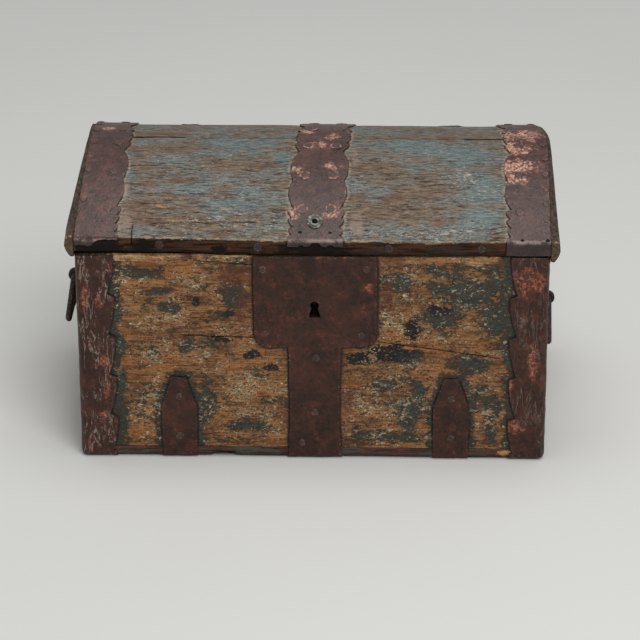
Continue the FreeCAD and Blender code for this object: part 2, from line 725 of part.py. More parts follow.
def lock_case():
    """Sheet-iron tray, open below and towards the keyhole, with an eared top plate."""
    left, right = LOCK_X - LOCK_W / 2, LOCK_X + LOCK_W / 2
    front, low = LOCK_BACK - LOCK_DEPTH, LOCK_TOP - LOCK_H
    tray = box(left, right, front, LOCK_BACK, low, LOCK_TOP)
    room = box(left + LOCK_SHEET, right - LOCK_SHEET, front - 1, LOCK_BACK - LOCK_SHEET,
               low - 1, LOCK_TOP - LOCK_SHEET)
    ears = box(left - EAR_OUT, right + EAR_OUT, FRONT + WALL - EAR_W, FRONT + WALL,
               LOCK_TOP - LOCK_SHEET, LOCK_TOP)
    width = BOLT_THICK / 2 + FREE + STAPLE_LEG + 0.5
    half = STAPLE_T / 2 + 0.8
    slot = box(LOCK_X - half, LOCK_X + half, BOLT_Y - width, BOLT_Y + width,
               LOCK_TOP - 2 * LOCK_SHEET, LOCK_TOP + 1)
    return tray.cut(room).fuse(ears).cut(slot).removeSplitter()


def ear_spots():
    reach = LOCK_W / 2 + EAR_OUT / 2
    y = FRONT + WALL - EAR_W / 2
    up = Vector(0, 0, 1)
    return [(Vector(x, y, LOCK_TOP), up, NAIL_LEN, EAR_HEAD) for x in (LOCK_X - reach, LOCK_X + reach)]


def from_back_plate(radius, x, z, length):
    return Part.makeCylinder(radius, length, Vector(x, LOCK_BACK - LOCK_SHEET, z), Vector(0, -1, 0))


def ward_drum():
    slot = box(LOCK_X - WARD_SLOT, LOCK_X + WARD_SLOT, FRONT, LOCK_BACK, KEY_Z - DRUM_R - 1, KEY_Z)
    ring = from_back_plate(DRUM_R, LOCK_X, KEY_Z, DRUM_H)
    return ring.cut([from_back_plate(DRUM_BORE, LOCK_X, KEY_Z, DRUM_H), slot])


def polar(radius, degrees):
    a = math.radians(degrees)
    return LOCK_X + radius * math.cos(a), KEY_Z + radius * math.sin(a)


def lock_pillars():
    reach = SPRING_R + SPRING_T + PILLAR_R
    length = LOCK_DEPTH - 2 * LOCK_SHEET
    return Part.makeCompound([from_back_plate(PILLAR_R, *polar(reach, a), length) for a in PILLARS])


def lock_spring():
    """Bow spring that lies round the ward drum and presses on the bolt."""
    y = LOCK_BACK - LOCK_SHEET - SPRING_H - 1

    def at(radius, degrees):
        x, z = polar(radius, degrees)
        return Vector(x, y, z)

    inner, outer = SPRING_R, SPRING_R + SPRING_T
    middle = (SPRING_FROM + SPRING_TO) / 2
    edges = [
        arc(at(inner, SPRING_TO), at(inner, middle), at(inner, SPRING_FROM)),
        line(at(inner, SPRING_FROM), at(outer, SPRING_FROM)),
        arc(at(outer, SPRING_FROM), at(outer, middle), at(outer, SPRING_TO)),
        line(at(outer, SPRING_TO), at(inner, SPRING_TO)),
    ]
    return prism(edges, Vector(0, SPRING_H, 0))


def lock_bolt():
    """Bolt drawn back; its narrow tip goes through the staple of the lid when it is shot."""
    back = LOCK_BACK - LOCK_SHEET - FREE
    front = BOLT_Y - BOLT_THICK / 2
    bar = box(LOCK_X - BOLT_TAIL, LOCK_X - BOLT_STEP, front, back, BOLT_Z, BOLT_Z + BOLT_H)
    tip = box(LOCK_X - BOLT_STEP, LOCK_X - BOLT_TIP, front, front + BOLT_THICK, BOLT_Z, BOLT_Z + BOLT_H)
    return bar.fuse(tip).removeSplitter()


def bolt_guides():
    """Two iron loops on the back plate: one holds the bolt, the other takes its tip."""
    back = LOCK_BACK - LOCK_SHEET
    front = BOLT_Y - BOLT_THICK / 2
    loops = []
    for offset in GUIDES:
        x0, x1 = LOCK_X + offset - GUIDE_HALF, LOCK_X + offset + GUIDE_HALF
        low, high = BOLT_Z - FREE, BOLT_Z + BOLT_H + FREE
        loop = box(x0, x1, front - FREE - LOCK_SHEET, back, low - LOCK_SHEET, high + LOCK_SHEET)
        window = box(x0 - 1, x1 + 1, front - FREE, back - FREE / 2, low, high)
        loops.append(loop.cut(window))
    return Part.makeCompound(loops)


def strap_point(y):
    """Point on top of the middle strap above the lock, and the outward direction there."""
    rel = y - BOX_Y
    out = Vector(0, rel / ARCH_R, math.sqrt(1 - (rel / ARCH_R) ** 2))
    return Vector(LOCK_X, BOX_Y, ARCH_Z) + out * (ARCH_R + IRON), out


def flat_shank(play):
    """Upright shank of the staple inside the lid, as wide as the eye, up to just below the strap."""
    top = strap_point(BOLT_Y)[0].z - SHANK_STOP
    thick, wide = STAPLE_T / 2 + play, BOLT_THICK / 2 + FREE + play
    return box(LOCK_X - thick, LOCK_X + thick, BOLT_Y - wide, BOLT_Y + wide, LID_Z - OVERLAP, top)


def clench(radius, above):
    """Round end of the staple's shank, through the lid and the strap."""
    at, out = strap_point(BOLT_Y)
    return Part.makeCylinder(radius, CLENCH_IN + above, at - out * CLENCH_IN, out)


def clench_hole():
    return clench(CLENCH_R + SHANK_PLAY, 2 * WASHER_T)


def lid_staple():
    """Loop under the lid for the bolt; its shank is riveted over a washer on the strap."""
    inner = BOLT_THICK / 2 + FREE
    outer = inner + STAPLE_LEG
    low = BOLT_Z - FREE - STAPLE_LEG
    half = STAPLE_T / 2
    loop = box(LOCK_X - half, LOCK_X + half, BOLT_Y - outer, BOLT_Y + outer, low, LID_Z)
    eye = box(LOCK_X - STAPLE_T, LOCK_X + STAPLE_T, BOLT_Y - inner, BOLT_Y + inner,
              BOLT_Z - FREE, BOLT_Z + BOLT_H + FREE)
    return loop.cut(eye).fuse([flat_shank(0), clench(CLENCH_R, CLENCH_UP)]).removeSplitter()


def staple_washer():
    at, out = strap_point(BOLT_Y)
    disc = Part.makeCylinder(WASHER_R, WASHER_T, at, out)
    return disc.cut(clench_hole())


# Handles, modelled at the right end

def eye_holes(place):
    half = EYE_HALF + SHANK_PLAY
    middle, z = BOX_Y + place.back, place.height
    return [box(0, HALF_W + 1, middle + y - half, middle + y + half, z - half, z + half)
            for y in (-EYE_Y, EYE_Y)]


def handle_eyes(place):
    """Two forged eyes with square shanks through the end board, each clenched over a rove inside."""
    axis_x, height = HALF_W + place.out, place.height
    inside = HALF_W - WALL
    middle = BOX_Y + place.back
    pieces = []
    for y in (middle - EYE_Y, middle + EYE_Y):
        y0, y1 = y - EYE_HALF, y + EYE_HALF
        z0, z1 = height - EYE_HALF, height + EYE_HALF
        start, along = Vector(axis_x, y0, height), Vector(0, 1, 0)
        ring = Part.makeCylinder(EYE_R, 2 * EYE_HALF, start, along)
        bore = Part.makeCylinder(EYE_BORE, 2 * EYE_HALF, start, along)
        shank = box(inside - EYE_CLENCH, axis_x - EYE_BORE, y0, y1, z0, z1)
        rove = box(inside - IRON, inside, y - ROVE_HALF, y + ROVE_HALF,
                   height - ROVE_HALF, height + ROVE_HALF)
        pieces.append(ring.fuse([shank, rove]).cut(bore).removeSplitter())
    return Part.makeCompound(pieces)


def bar_section(radius, x, y, z):
    """Eight-sided section of the forged handle, square to Y."""
    section = octagon(radius, 0)
    turn = FreeCAD.Rotation(Vector(1, 0, 0), 90)
    section.Placement = FreeCAD.Placement(Vector(x, y, z), turn)
    return section


def grip_radius(share):
    """The grip swells from a little less than the bar at its ends to its full size in the middle."""
    neck = BAIL_R - GRIP_NECK
    return neck + (GRIP_R - neck) * math.sin(math.pi * share)


def bail(place):
    """Drop handle: bar turned inward through the eyes, hanging down to a swelled grip."""
    axis_x, middle, height = HALF_W + place.out, BOX_Y + place.back, place.height
    grip_x, grip_z = axis_x + place.lean, height - BAIL_DROP
    half_path = [(axis_x, JOURNAL_END, height), (axis_x, BAIL_SHOULDER + BAIL_FLARE, height),
                 (grip_x, BAIL_HALF + 2 * BAIL_FLARE, grip_z)]
    points = [Vector(x, middle - y, z) for x, y, z in half_path]
    points += [Vector(x, middle + y, z) for x, y, z in reversed(half_path)]
    section = bar_section(BAIL_R, axis_x, middle - JOURNAL_END, height)
    pieces = [rounded_path(points, BAIL_BEND).makePipeShell([section], True, False)]
    for end in (middle - JOURNAL_END, middle + BAIL_END):
        start = Vector(axis_x, end, height)
        pieces.append(Part.makeCylinder(BAIL_R, JOURNAL_END - BAIL_END, start, Vector(0, 1, 0)))
    rings = []
    for i in range(GRIP_STEPS + 1):
        share = i / GRIP_STEPS
        y = middle + GRIP_HALF * (2 * share - 1)
        rings.append(bar_section(grip_radius(share), grip_x, y, grip_z))
    pieces.append(Part.makeLoft(rings, True, True))
    return pieces[0].fuse(pieces[1:])


# Assembly

CORNERS = {
    "front_left_corner_iron": (-1, False),
    "front_right_corner_iron": (1, False),
    "back_left_corner_iron": (-1, True),
    "back_right_corner_iron": (1, True),
}


def box_irons(parts):
    """Straps, plates and their nails on the box; the boards under them are pierced."""
    skin = rounded_box(IRON).cut(rounded_box(0))
    plates = {
        "lock_plate": (lock_plate(skin), front_spots(PLATE_NAILS)),
        "left_front_tongue": (tongue(skin, LEFT_TONGUE_X), tongue_spots(LEFT_TONGUE_X)),
        "right_front_tongue": (tongue(skin, RIGHT_TONGUE_X), tongue_spots(RIGHT_TONGUE_X)),
        "left_hinge_strap": (hinge_strap(skin, LEFT_TONGUE_X), hinge_spots(LEFT_TONGUE_X)),
        "right_hinge_strap": (hinge_strap(skin, RIGHT_TONGUE_X), hinge_spots(RIGHT_TONGUE_X)),
    }
    for name, (side, back) in CORNERS.items():
        plates[name] = (corner_iron(skin, side, back), corner_spots(side, back))
    for name, (shape, spots) in plates.items():
        parts[name] = drilled(shape, spots)
    corner_nails = [spot for name in CORNERS for spot in plates[name][1]]
    groups = {
        "corner_iron_nails": corner_nails,
        "lock_plate_nails": plates["lock_plate"][1],
        "tongue_nails": plates["left_front_tongue"][1] + plates["right_front_tongue"][1],
        "hinge_strap_nails": plates["left_hinge_strap"][1] + plates["right_hinge_strap"][1],
    }
    for name, spots in groups.items():
        parts[name] = nails(spots)
    everything = [spot for spots in groups.values() for spot in spots] + ear_spots()
    for name in ("front_board", "back_board", "left_end_board", "right_end_board"):
        parts[name] = drilled(parts[name], everything)


def box_sprigs(parts):
    parts["corner_sprigs"] = corner_sprigs()
    parts["bottom_sprigs"] = bottom_sprigs()
    for name in ("front_board", "back_board", "left_end_board", "right_end_board", "bottom_board"):
        parts[name] = parts[name].cut([parts["corner_sprigs"], parts["bottom_sprigs"]])


def lock(parts):
    parts["lock_case"] = drilled(lock_case(), ear_spots())
    parts["lock_ear_nails"] = nails(ear_spots())
    parts["lock_key_pin"] = from_back_plate(KEY_PIN_R, LOCK_X, KEY_Z, LOCK_DEPTH)
    parts["lock_ward_drum"] = ward_drum()
    parts["lock_pillars"] = lock_pillars()
    parts["lock_spring"] = lock_spring()
    parts["lock_bolt_guides"] = bolt_guides()
    parts["lock_bolt"] = lock_bolt()


def lid(parts):
    vault = lid_vault()
    front, rear = lid_boards(vault)
    gable = right_gable(vault)
    shell = lid_profile(IRON, -STRAP_OUTER, STRAP_OUTER).cut(lid_profile(0, -STRAP_OUTER, STRAP_OUTER))
    straps = lid_straps(shell)
    straps["centre_lid_strap"] = straps["centre_lid_strap"].cut(clench_hole())
    groups = {
        "left_lid_strap": end_strap_spots(-1),
        "centre_lid_strap": centre_strap_spots(),
        "right_lid_strap": end_strap_spots(1),
    }
    for name, spots in groups.items():
        parts[name] = drilled(straps[name], spots)
    strap_nails = [spot for spots in groups.values() for spot in spots]
    leaf_nails = []
    for side, x in (("left", LEFT_TONGUE_X), ("right", RIGHT_TONGUE_X)):
        parts[side + "_lid_hinge_leaf"] = drilled(lid_leaf(shell, x), leaf_spots(x))
        parts[side + "_hinge_pin"] = hinge_pin(x)
        leaf_nails += leaf_spots(x)
    parts["lid_strap_nails"] = nails(strap_nails)
    parts["hinge_leaf_nails"] = nails(leaf_nails)
    parts["lid_edge_nails"] = nails(lid_edge_spots())
    everything = strap_nails + leaf_nails + lid_edge_spots()
    shank = [flat_shank(SHANK_PLAY), clench_hole()]
    parts["lid_front_board"] = drilled(front, everything).cut(shank)
    parts["lid_rear_board"] = drilled(rear, everything)
    parts["left_lid_end"] = drilled(mirrored(gable), everything)
    parts["right_lid_end"] = drilled(gable, everything)
    parts["lid_staple"] = lid_staple()
    parts["staple_washer"] = staple_washer()


def handles(parts):
    parts["left_handle_eyes"] = mirrored(handle_eyes(LEFT_HANDLE))
    parts["right_handle_eyes"] = handle_eyes(RIGHT_HANDLE)
    parts["left_handle"] = mirrored(bail(LEFT_HANDLE))
    parts["right_handle"] = bail(RIGHT_HANDLE)


def main():
    parts = box_boards()
    box_irons(parts)
    box_sprigs(parts)
    lock(parts)
    lid(parts)
    handles(parts)
    os.makedirs("parts", exist_ok=True)
    for name, shape in parts.items():
        shape.translated(Vector(BOX_X, 0, 0)).exportStep(f"parts/{name}.step")


main()
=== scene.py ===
"""Looks of an iron-bound wooden casket with a low arched lid: worn paint, bare pine and rust-browned iron.

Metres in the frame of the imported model; MM turns a length in millimetres into metres.
"""

import json
import math

import bmesh
import bpy
import numpy as np
from mathutils import Matrix, Vector, noise
from mathutils.bvhtree import BVHTree
from mathutils.kdtree import KDTree

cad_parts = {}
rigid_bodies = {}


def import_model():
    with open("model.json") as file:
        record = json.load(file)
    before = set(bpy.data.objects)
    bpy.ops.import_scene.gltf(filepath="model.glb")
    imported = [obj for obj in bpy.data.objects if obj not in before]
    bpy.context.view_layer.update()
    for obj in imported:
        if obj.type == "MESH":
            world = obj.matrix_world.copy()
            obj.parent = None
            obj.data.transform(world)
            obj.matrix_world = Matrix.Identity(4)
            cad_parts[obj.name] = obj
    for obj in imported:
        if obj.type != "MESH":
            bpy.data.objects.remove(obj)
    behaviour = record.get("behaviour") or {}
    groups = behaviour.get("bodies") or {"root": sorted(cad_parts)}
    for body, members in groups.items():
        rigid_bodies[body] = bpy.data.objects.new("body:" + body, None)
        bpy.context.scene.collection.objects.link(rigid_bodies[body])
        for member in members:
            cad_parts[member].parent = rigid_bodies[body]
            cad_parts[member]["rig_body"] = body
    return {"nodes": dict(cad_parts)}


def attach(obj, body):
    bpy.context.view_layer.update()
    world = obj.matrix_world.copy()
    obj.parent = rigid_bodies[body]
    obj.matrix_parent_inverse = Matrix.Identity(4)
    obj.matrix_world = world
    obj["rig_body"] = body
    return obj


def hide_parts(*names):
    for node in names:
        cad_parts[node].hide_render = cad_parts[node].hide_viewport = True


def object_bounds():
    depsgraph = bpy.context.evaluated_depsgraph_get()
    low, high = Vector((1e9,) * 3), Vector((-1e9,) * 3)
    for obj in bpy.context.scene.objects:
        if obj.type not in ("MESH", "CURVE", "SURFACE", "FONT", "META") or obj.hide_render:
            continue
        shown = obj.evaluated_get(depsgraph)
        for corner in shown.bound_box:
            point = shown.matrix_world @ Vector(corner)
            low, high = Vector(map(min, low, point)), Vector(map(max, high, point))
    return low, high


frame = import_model()
CAD_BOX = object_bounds()
MM = 0.001
NOISE_SEED = 11
noise.seed_set(NOISE_SEED)  # the unevenness is the same in every run

# Camera, from the perspective of the photograph's edges
IMAGE_SIDE = 640
FOCAL_PIXELS = 3000
SENSOR_MM = 36.0
CAMERA_PLACE = (62.5, -2069.4, 1011.2)  # millimetres
CAMERA_PITCH = 24.56  # degrees below the horizon
CAMERA_YAW = -1.56
CAMERA_ROLL = -0.2

# Light and floor, metres and watts
WORLD_STRENGTH = 0.33
LAMPS = [("key", (0.7, -1.9, 2.2), 49), ("top", (0.1, 0.0, 2.6), 23)]
LAMP_SIZE = 1.8
LAMP_AIM = (0, 0, 0.1)
FLOOR_HALF = 6.0

# Measures of the casket, millimetres; places are given from the middle of the box in x
BOX_X, BOX_Y = 3.18, -3.2
BOX_HALF_W, BOX_HALF_D = 169.0, 99.0
FRONT = BOX_Y - BOX_HALF_D
ARCH_R, ARCH_Z = 143.75, 70.25  # arch of the lid
LID_Z, LID_EDGE = 163.0, 11.0  # underside of the lid, height of its front edge
EDGE_TOP = LID_Z + LID_EDGE
LID_HALF_D = 99.5
GABLE_INNER = 171.0  # inner face of the lip of a lid end
HINGE_Y, HINGE_Z = 104.0, 162.5
KEYHOLE = 1.9, 119.0
KEYHOLE_R = 10.0
IRON = 1.2  # sheet iron
HEAD_R, HEAD_H = 2.9, 1.4  # packed nail heads
IRON_FAR = 30.0  # distance kept for wood with no iron near
LAYERS = ("edge", "iron", "depth", "rise", "crevice_shade")  # values at each point for the materials

# Unevenness and wear, millimetres
BROAD_WAVE, BROAD_SHIFT = 75.0, 0.7
LITTLE_WAVE, LITTLE_SHIFT = 24.0, 0.25
LID_TWIST = 2.3  # rise of the front left corner of the lid
LEFT_LEAN, RIGHT_LEAN = 5.5, 7.5  # how far the lid ends lean in at the top
GABLE_THINNED = 0.72  # share of that lip rubbed away at its lower edge
FOLD_ROUND = 3.4  # rounding of a strap at the lid edge
FOLD_BITE = 2.4  # place of the large bite in the middle fold
EDGE_LIFT, LIFT_REACH = 1.1, 6.0  # edges of irons that stand off the wood
SAW_CUT_X, SAW_CUT_BACK = -129.0, 91.0  # saw cut across the front edge of the lid
LID_SPLIT = (-117.0, 90.5), (-38.0, 88.8)  # split along that edge: x, distance in front of the ridge
SEAM_SHUT = -99.0, 113.0  # paint has closed the ridge seam between these in x
TEAR_X = -157.0  # inner side of the stub of the left fold
BASE_CHIP_X = -64.0
# Drying cracks of the front board: start and end in x and z, depth
FRONT_CRACKS = [
    ((-97, 98.5), (-40, 97.2), 2.4), ((46, 95.0), (136, 82.0), 2.6), ((-82, 157.5), (-41, 155.0), 1.8),
]

# Fineness of the meshes, metres and degrees
BOARD_STEP = 2.6 * MM  # grid of points on the boards
WELD = 2e-6  # points closer than this are one
ON_PLANE = 1e-7
GRID_START = 0.63  # share of a step before the first cut, to miss the faces
FLAT_DEGREES, SHARP_DEGREES, SMOOTH_DEGREES = 0.4, 35, 38
SMALL = {"step": 2 * MM, "bevel": 0.25 * MM, "ragged": 0}  # small ironwork
LOCK_HAMMER = 0.1 * MM

# Pieces by kind
END_BOARDS = ["left_end_board", "right_end_board"]
LID_ENDS = ["left_lid_end", "right_lid_end"]
BOX_IRONS = [
    "front_left_corner_iron", "front_right_corner_iron", "back_left_corner_iron", "back_right_corner_iron",
    "lock_plate", "left_front_tongue", "right_front_tongue", "left_hinge_strap", "right_hinge_strap",
]
LID_IRONS = [
    "left_lid_strap", "centre_lid_strap", "right_lid_strap", "left_lid_hinge_leaf", "right_lid_hinge_leaf",
]
BOX_NAILS = ["corner_iron_nails", "lock_plate_nails", "tongue_nails", "hinge_strap_nails"]
HANDLES = ["left_handle", "right_handle", "left_handle_eyes", "right_handle_eyes"]
DARK_SMALL = ["corner_sprigs", "bottom_sprigs", "left_hinge_pin", "right_hinge_pin"]
LOCK = [
    "lock_case", "lock_ear_nails", "lock_key_pin", "lock_ward_drum", "lock_pillars", "lock_spring",
    "lock_bolt_guides", "lock_bolt",
]
# These get near-black iron as painted shade, as they lie in the dark inside the lock
LOCK_SHADED = ["lock_key_pin", "lock_ward_drum"]  # seen through the keyhole

# Places on the front: x, z, half width, half height. Paint, pale flecks, black remnants, rust stains and bare
# wood of the board, and rust of its irons
FRONT_PAINT = [
    (-126, 148, 26, 8), (-112, 134, 16, 5), (118, 138, 44, 22), (132, 112, 18, 30), (92, 112, 22, 14),
    (112, 78, 22, 12), (70, 82, 26, 7), (-56, 132, 14, 14), (-102, 121, 12, 6), (70, 36, 14, 20),
    (-86, 15, 46, 5), (62, 18, 46, 7), (-92, 90, 8, 7), (-141, 140, 5, 12), (-140, 116, 5, 9),
    (-139, 90, 6, 14), (-139, 62, 6, 10), (-139, 36, 7, 20), (60, 142, 18, 12), (130, 40, 12, 30),
    (-114, 84, 9, 6), (-48, 26, 22, 7), (-76, 50, 8, 20), (78, 52, 8, 14), (122, 56, 12, 14),
    (52, 60, 14, 6),
]
FRONT_FLECKS = [
    (-140, 142, 10, 20), (-80, 136, 24, 18), (-112, 80, 16, 14), (-46, 52, 42, 42), (54, 46, 44, 36),
    (125, 34, 18, 20), (70, 112, 34, 24), (-114, 46, 24, 32), (62, 146, 28, 10), (-50, 104, 38, 16),
    (-110, 120, 30, 18), (112, 62, 18, 16),
]
FRONT_BLACK = [
    (58, 86, 28, 11), (34, 82, 14, 8), (72, 104, 9, 12), (92, 120, 13, 7), (-60, 116, 7, 4),
    (-84, 126, 5, 6), (-66, 96, 12, 4), (-44, 84, 9, 6), (-30, 74, 10, 5),
]
FRONT_RUST = [(-22, 36, 9, 18), (27, 48, 9, 26), (-50, 118, 8, 30), (54, 130, 8, 24), (-56, 146, 26, 12)]
FRONT_BARE = [(-132, 160.5, 22, 5), (-106, 161, 18, 3.5), (-66, 162, 30, 2.5), (118, 157, 12, 3)]
BOX_RUST = [
    (156, 143, 16, 15), (147, 28, 12, 9), (142, 66, 6, 22), (-153, 125, 5, 8), (-151, 79, 6, 9),
    (-153, 34, 5, 6), (-164, 128, 4, 13), (-150, 56, 4, 10), (160, 80, 5, 20), (42, 138, 4, 5),
]

# Places on the lid, by x and distance in front of the ridge: x, distance, half width, half depth
LID_TEAL = [
    (-133, 50, 8, 9), (-87, 65, 20, 5), (-50, 66, 16, 5), (-56, 77, 26, 5), (-23, 33, 8, 12),
    (-50, 10, 40, 14), (115, 30, 26, 14), (122, 62, 20, 26), (95, 20, 40, 10), (70, 12, 40, 12),
    (120, 84, 20, 10),
]
LID_BROWN = [
    (-62, 42, 40, 16), (-110, 20, 30, 14), (-90, 90, 46, 8), (55, 82, 34, 14), (48, 48, 26, 16),
    (75, 66, 22, 10), (-128, 80, 12, 20),
]
LID_OCHRE = [
    (-110, 79, 9, 3), (63, 91, 8, 2), (46, 95, 6, 2), (30, 27, 8, 2), (38, 62, 8, 2), (-60, 80, 14, 2),
    (-96, 88.6, 24, 1.8), (-52, 87.4, 20, 1.8),
]
LID_SCRAPED = [(-60, 90, 70, 14), (-112, 76, 18, 24), (112, 55, 36, 40), (70, 96, 70, 7), (-66, 66, 40, 14)]
LID_PALE = [(-134, 90, 6, 16), (-136, 62, 5, 12), (32, 90, 7, 14), (30, 30, 4, 16)]
LID_RED = [
    (-105, -6, 24, 6), (95, 0, 9, 6), (-105, 45, 8, 5), (60, 70, 14, 6), (92, 88, 12, 4), (-118, 62, 8, 6),
]

# Places as centre and radii: flecks and paint of the other sides, chips of the base, soot on the lid edge,
# rust of the lid straps, and their open nail holes, which are given painted shade
SIDE_FLECKS = [((0, 0, 80), (150, 110, 55))]
SIDE_PAINT = [((0, 0, 150), (190, 130, 60)), ((0, 0, 0), (190, 130, 40))]
BASE_CHIPS = [((140, FRONT, 5), (9, 9, 5)), ((BASE_CHIP_X, FRONT, 4), (9, 8, 4))]
LID_SOOT = [
    ((-120, FRONT, LID_Z + 6), (15, 8, 9)), ((-66, FRONT, LID_Z + 4), (8, 8, 6)),
    ((1, FRONT, LID_Z + 4), (40, 12, 12)), ((-150, FRONT, LID_Z + 3), (26, 12, 9)),
]
LID_RUST = [
    ((150, 4, 214), (26, 20, 9)), ((147, -20, 213), (18, 16, 9)), ((149, -44, 208), (22, 14, 9)),
    ((145, -56, 204), (16, 11, 9)), ((2, -18, 214), (9, 10, 9)), ((-6, 8, 214), (9, 10, 9)),
    ((-154, 14, 214), (8, 8, 9)), ((13, -4, 214), (8, 10, 9)), ((12, -46, 209), (10, 6, 9)),
    ((-12, -50, 208), (7, 5, 9)), ((-13, -86, 186), (8, 6, 9)), ((13, -86, 186), (9, 6, 9)),
    ((-128, -94, 180), (9, 5, 9)),
]
FOLD_HOLES = [
    ((-8.5, -98.9, 179.1), (2.0, 1.4, 1.4)), ((13, -98.9, 179), (1.8, 1.3, 1.3)),
    ((150, -102.7, 175.6), (1.8, 1.4, 1.4)), ((168, -102.7, 175.6), (1.9, 1.5, 1.5)),
]

# Hexadecimal screen colours
TONES = {
    # Box
    "pine_dark": "3c2314", "pine": "9c6738", "straw": "a07c4d", "amber": "9a5a22", "umber": "40281a",
    "pore": "281b12", "ground": "a57b52", "chip_tan": "a88c62", "chip_cream": "e4d8bd", "speck": "241a13",
    "green_dark": "1d211b", "green": "3d4237", "green_brown": "33281d", "wash": "3a2c1e",
    # The box shadow tone is painted shadow with dirt beside the irons
    "black_paint": "1a1718", "rust_stain": "5f2c17", "rust_halo": "3f220f", "box_shadow_dirt": "120c09",
    "worn_dark": "5b3b20", "worn": "cba677", "box_inside_dark": "5d4029", "box_inside": "8a6842",
    # The crack tone is painted shade in cracks and the keyhole
    "box_inside_stain": "452e1e", "box_crack_shade": "0d0907",
    # Base
    "base_dark": "241a16", "base": "543c31", "base_red": "6e3527", "base_grey": "454a45",
    "base_pale": "8f8272", "base_foot": "17100d", "base_chip_red": "6b3f28", "base_chip_ochre": "b07d4a",
    "base_chip_dark": "3f2a1c",
    # Lid
    "grey_dark": "382c25", "grey": "877460", "grey_straw": "8d8072", "grey_brown": "684b3c",
    "slate_dark": "3f4847", "slate": "828d8c", "teal_dark": "43585a", "teal": "748e8d", "lid_red": "6a463b",
    "lid_ochre": "a2845a", "lid_pale": "8d786a", "lid_groove": "271e19", "lid_fleck": "c0b7ab",
    # The lid shadow tone is painted shadow with dirt beside the irons
    "lid_ghost": "a3917f", "lid_shadow_dirt": "17100d", "arris_dark": "785d43", "arris": "bfa88a",
    "lid_inside_dark": "523823", "lid_inside": "86643f", "lid_inside_stain": "3f2a1b",
    # The crack tone is painted shade in the cracks and the open joint of the lid
    "lid_crack_shade": "0f0a08",
    # Front edge of the lid and lid ends
    "edge_dark": "170c08", "edge": "573520", "edge_green": "2c322e", "edge_black": "0f0b09",
    "edge_fleck": "8d8676", "arch_rim_dark": "241a15", "arch_rim": "4c3a31", "foot_dark": "33261c",
    "foot": "6a543d",
    # Iron
    "pit": "170f0d", "iron_red": "572c22", "scale_dark": "3f231c", "scratch": "9d8c82",
    # Painted light on the iron: the shade and hole tones are painted shade, the glint tone painted
    # highlights, the rubbed tone a painted highlight on a bend also rubbed bright
    "iron_shade": "120c0a", "painted_glint": "98847a", "rubbed": "b7a6a3", "hole_shade": "0b0807",
    # Floor
    "paper_dark": "cfcfcc", "paper": "d4d4d1",
}


def arch_height(d):
    """Height of the top of the lid at a distance in front of the ridge."""
    return ARCH_Z + math.sqrt(ARCH_R ** 2 - d * d)


def front_spots(rows):
    return [((x, FRONT, z), (w, 8, h)) for x, z, w, h in rows]


def lid_spots(rows):
    return [((x, BOX_Y - d, arch_height(d)), (w, h, 14)) for x, d, w, h in rows]


# Finishes of the ironwork; the shades are the dark and the light skin, its blush, the rust and its flakes
FINISHES = {
    "box_iron": dict(shades="25140d 3f2318 4c291e 763c27 b26e52", rough=0.46, gloss=0.3,
                     spots=front_spots(BOX_RUST), scratched=True),
    "lid_iron": dict(shades="2f1e1a 4d342d 614038 a4664d dbb09c", rough=0.36, gloss=0.5,
                     spots=LID_RUST, folded=True),
    "box_nail": dict(shades="29170f 46291d 563427 763c27 a35c3e", rough=0.4, gloss=0.5),
    "lid_nail": dict(shades="392822 553d36 67463d 8b4e3a b98670", rough=0.4, gloss=0.5, rim="bd9787"),
    "dark_iron": dict(shades="1c1513 332723 40302a 5a3222 7d4a33", rough=0.48, gloss=0.4),
    # Near-black iron: painted shade for pieces seen through the keyhole and the staple in the washer
    "shade_iron": dict(shades="080606 120e0c 1a1310 1d1310 241813", rough=0.6, gloss=0.05),
    "lock_iron": dict(shades="35251f 533c32 664636 7e452b a5633f", rough=0.5, gloss=0.4),
    "washer_brass": dict(shades="191c17 353b31 494e43 55553f 7d7d66", rough=0.42, gloss=0.5, rim="a9ae9a"),
}


# Materials

def rgb(code):
    """Linear colour of a hexadecimal screen colour."""
    parts = [int(code[i:i + 2], 16) / 255 for i in (0, 2, 4)]
    return tuple(c / 12.92 if c <= 0.04045 else ((c + 0.055) / 1.055) ** 2.4 for c in parts) + (1.0,)


def tone(name):
    return rgb(TONES[name])


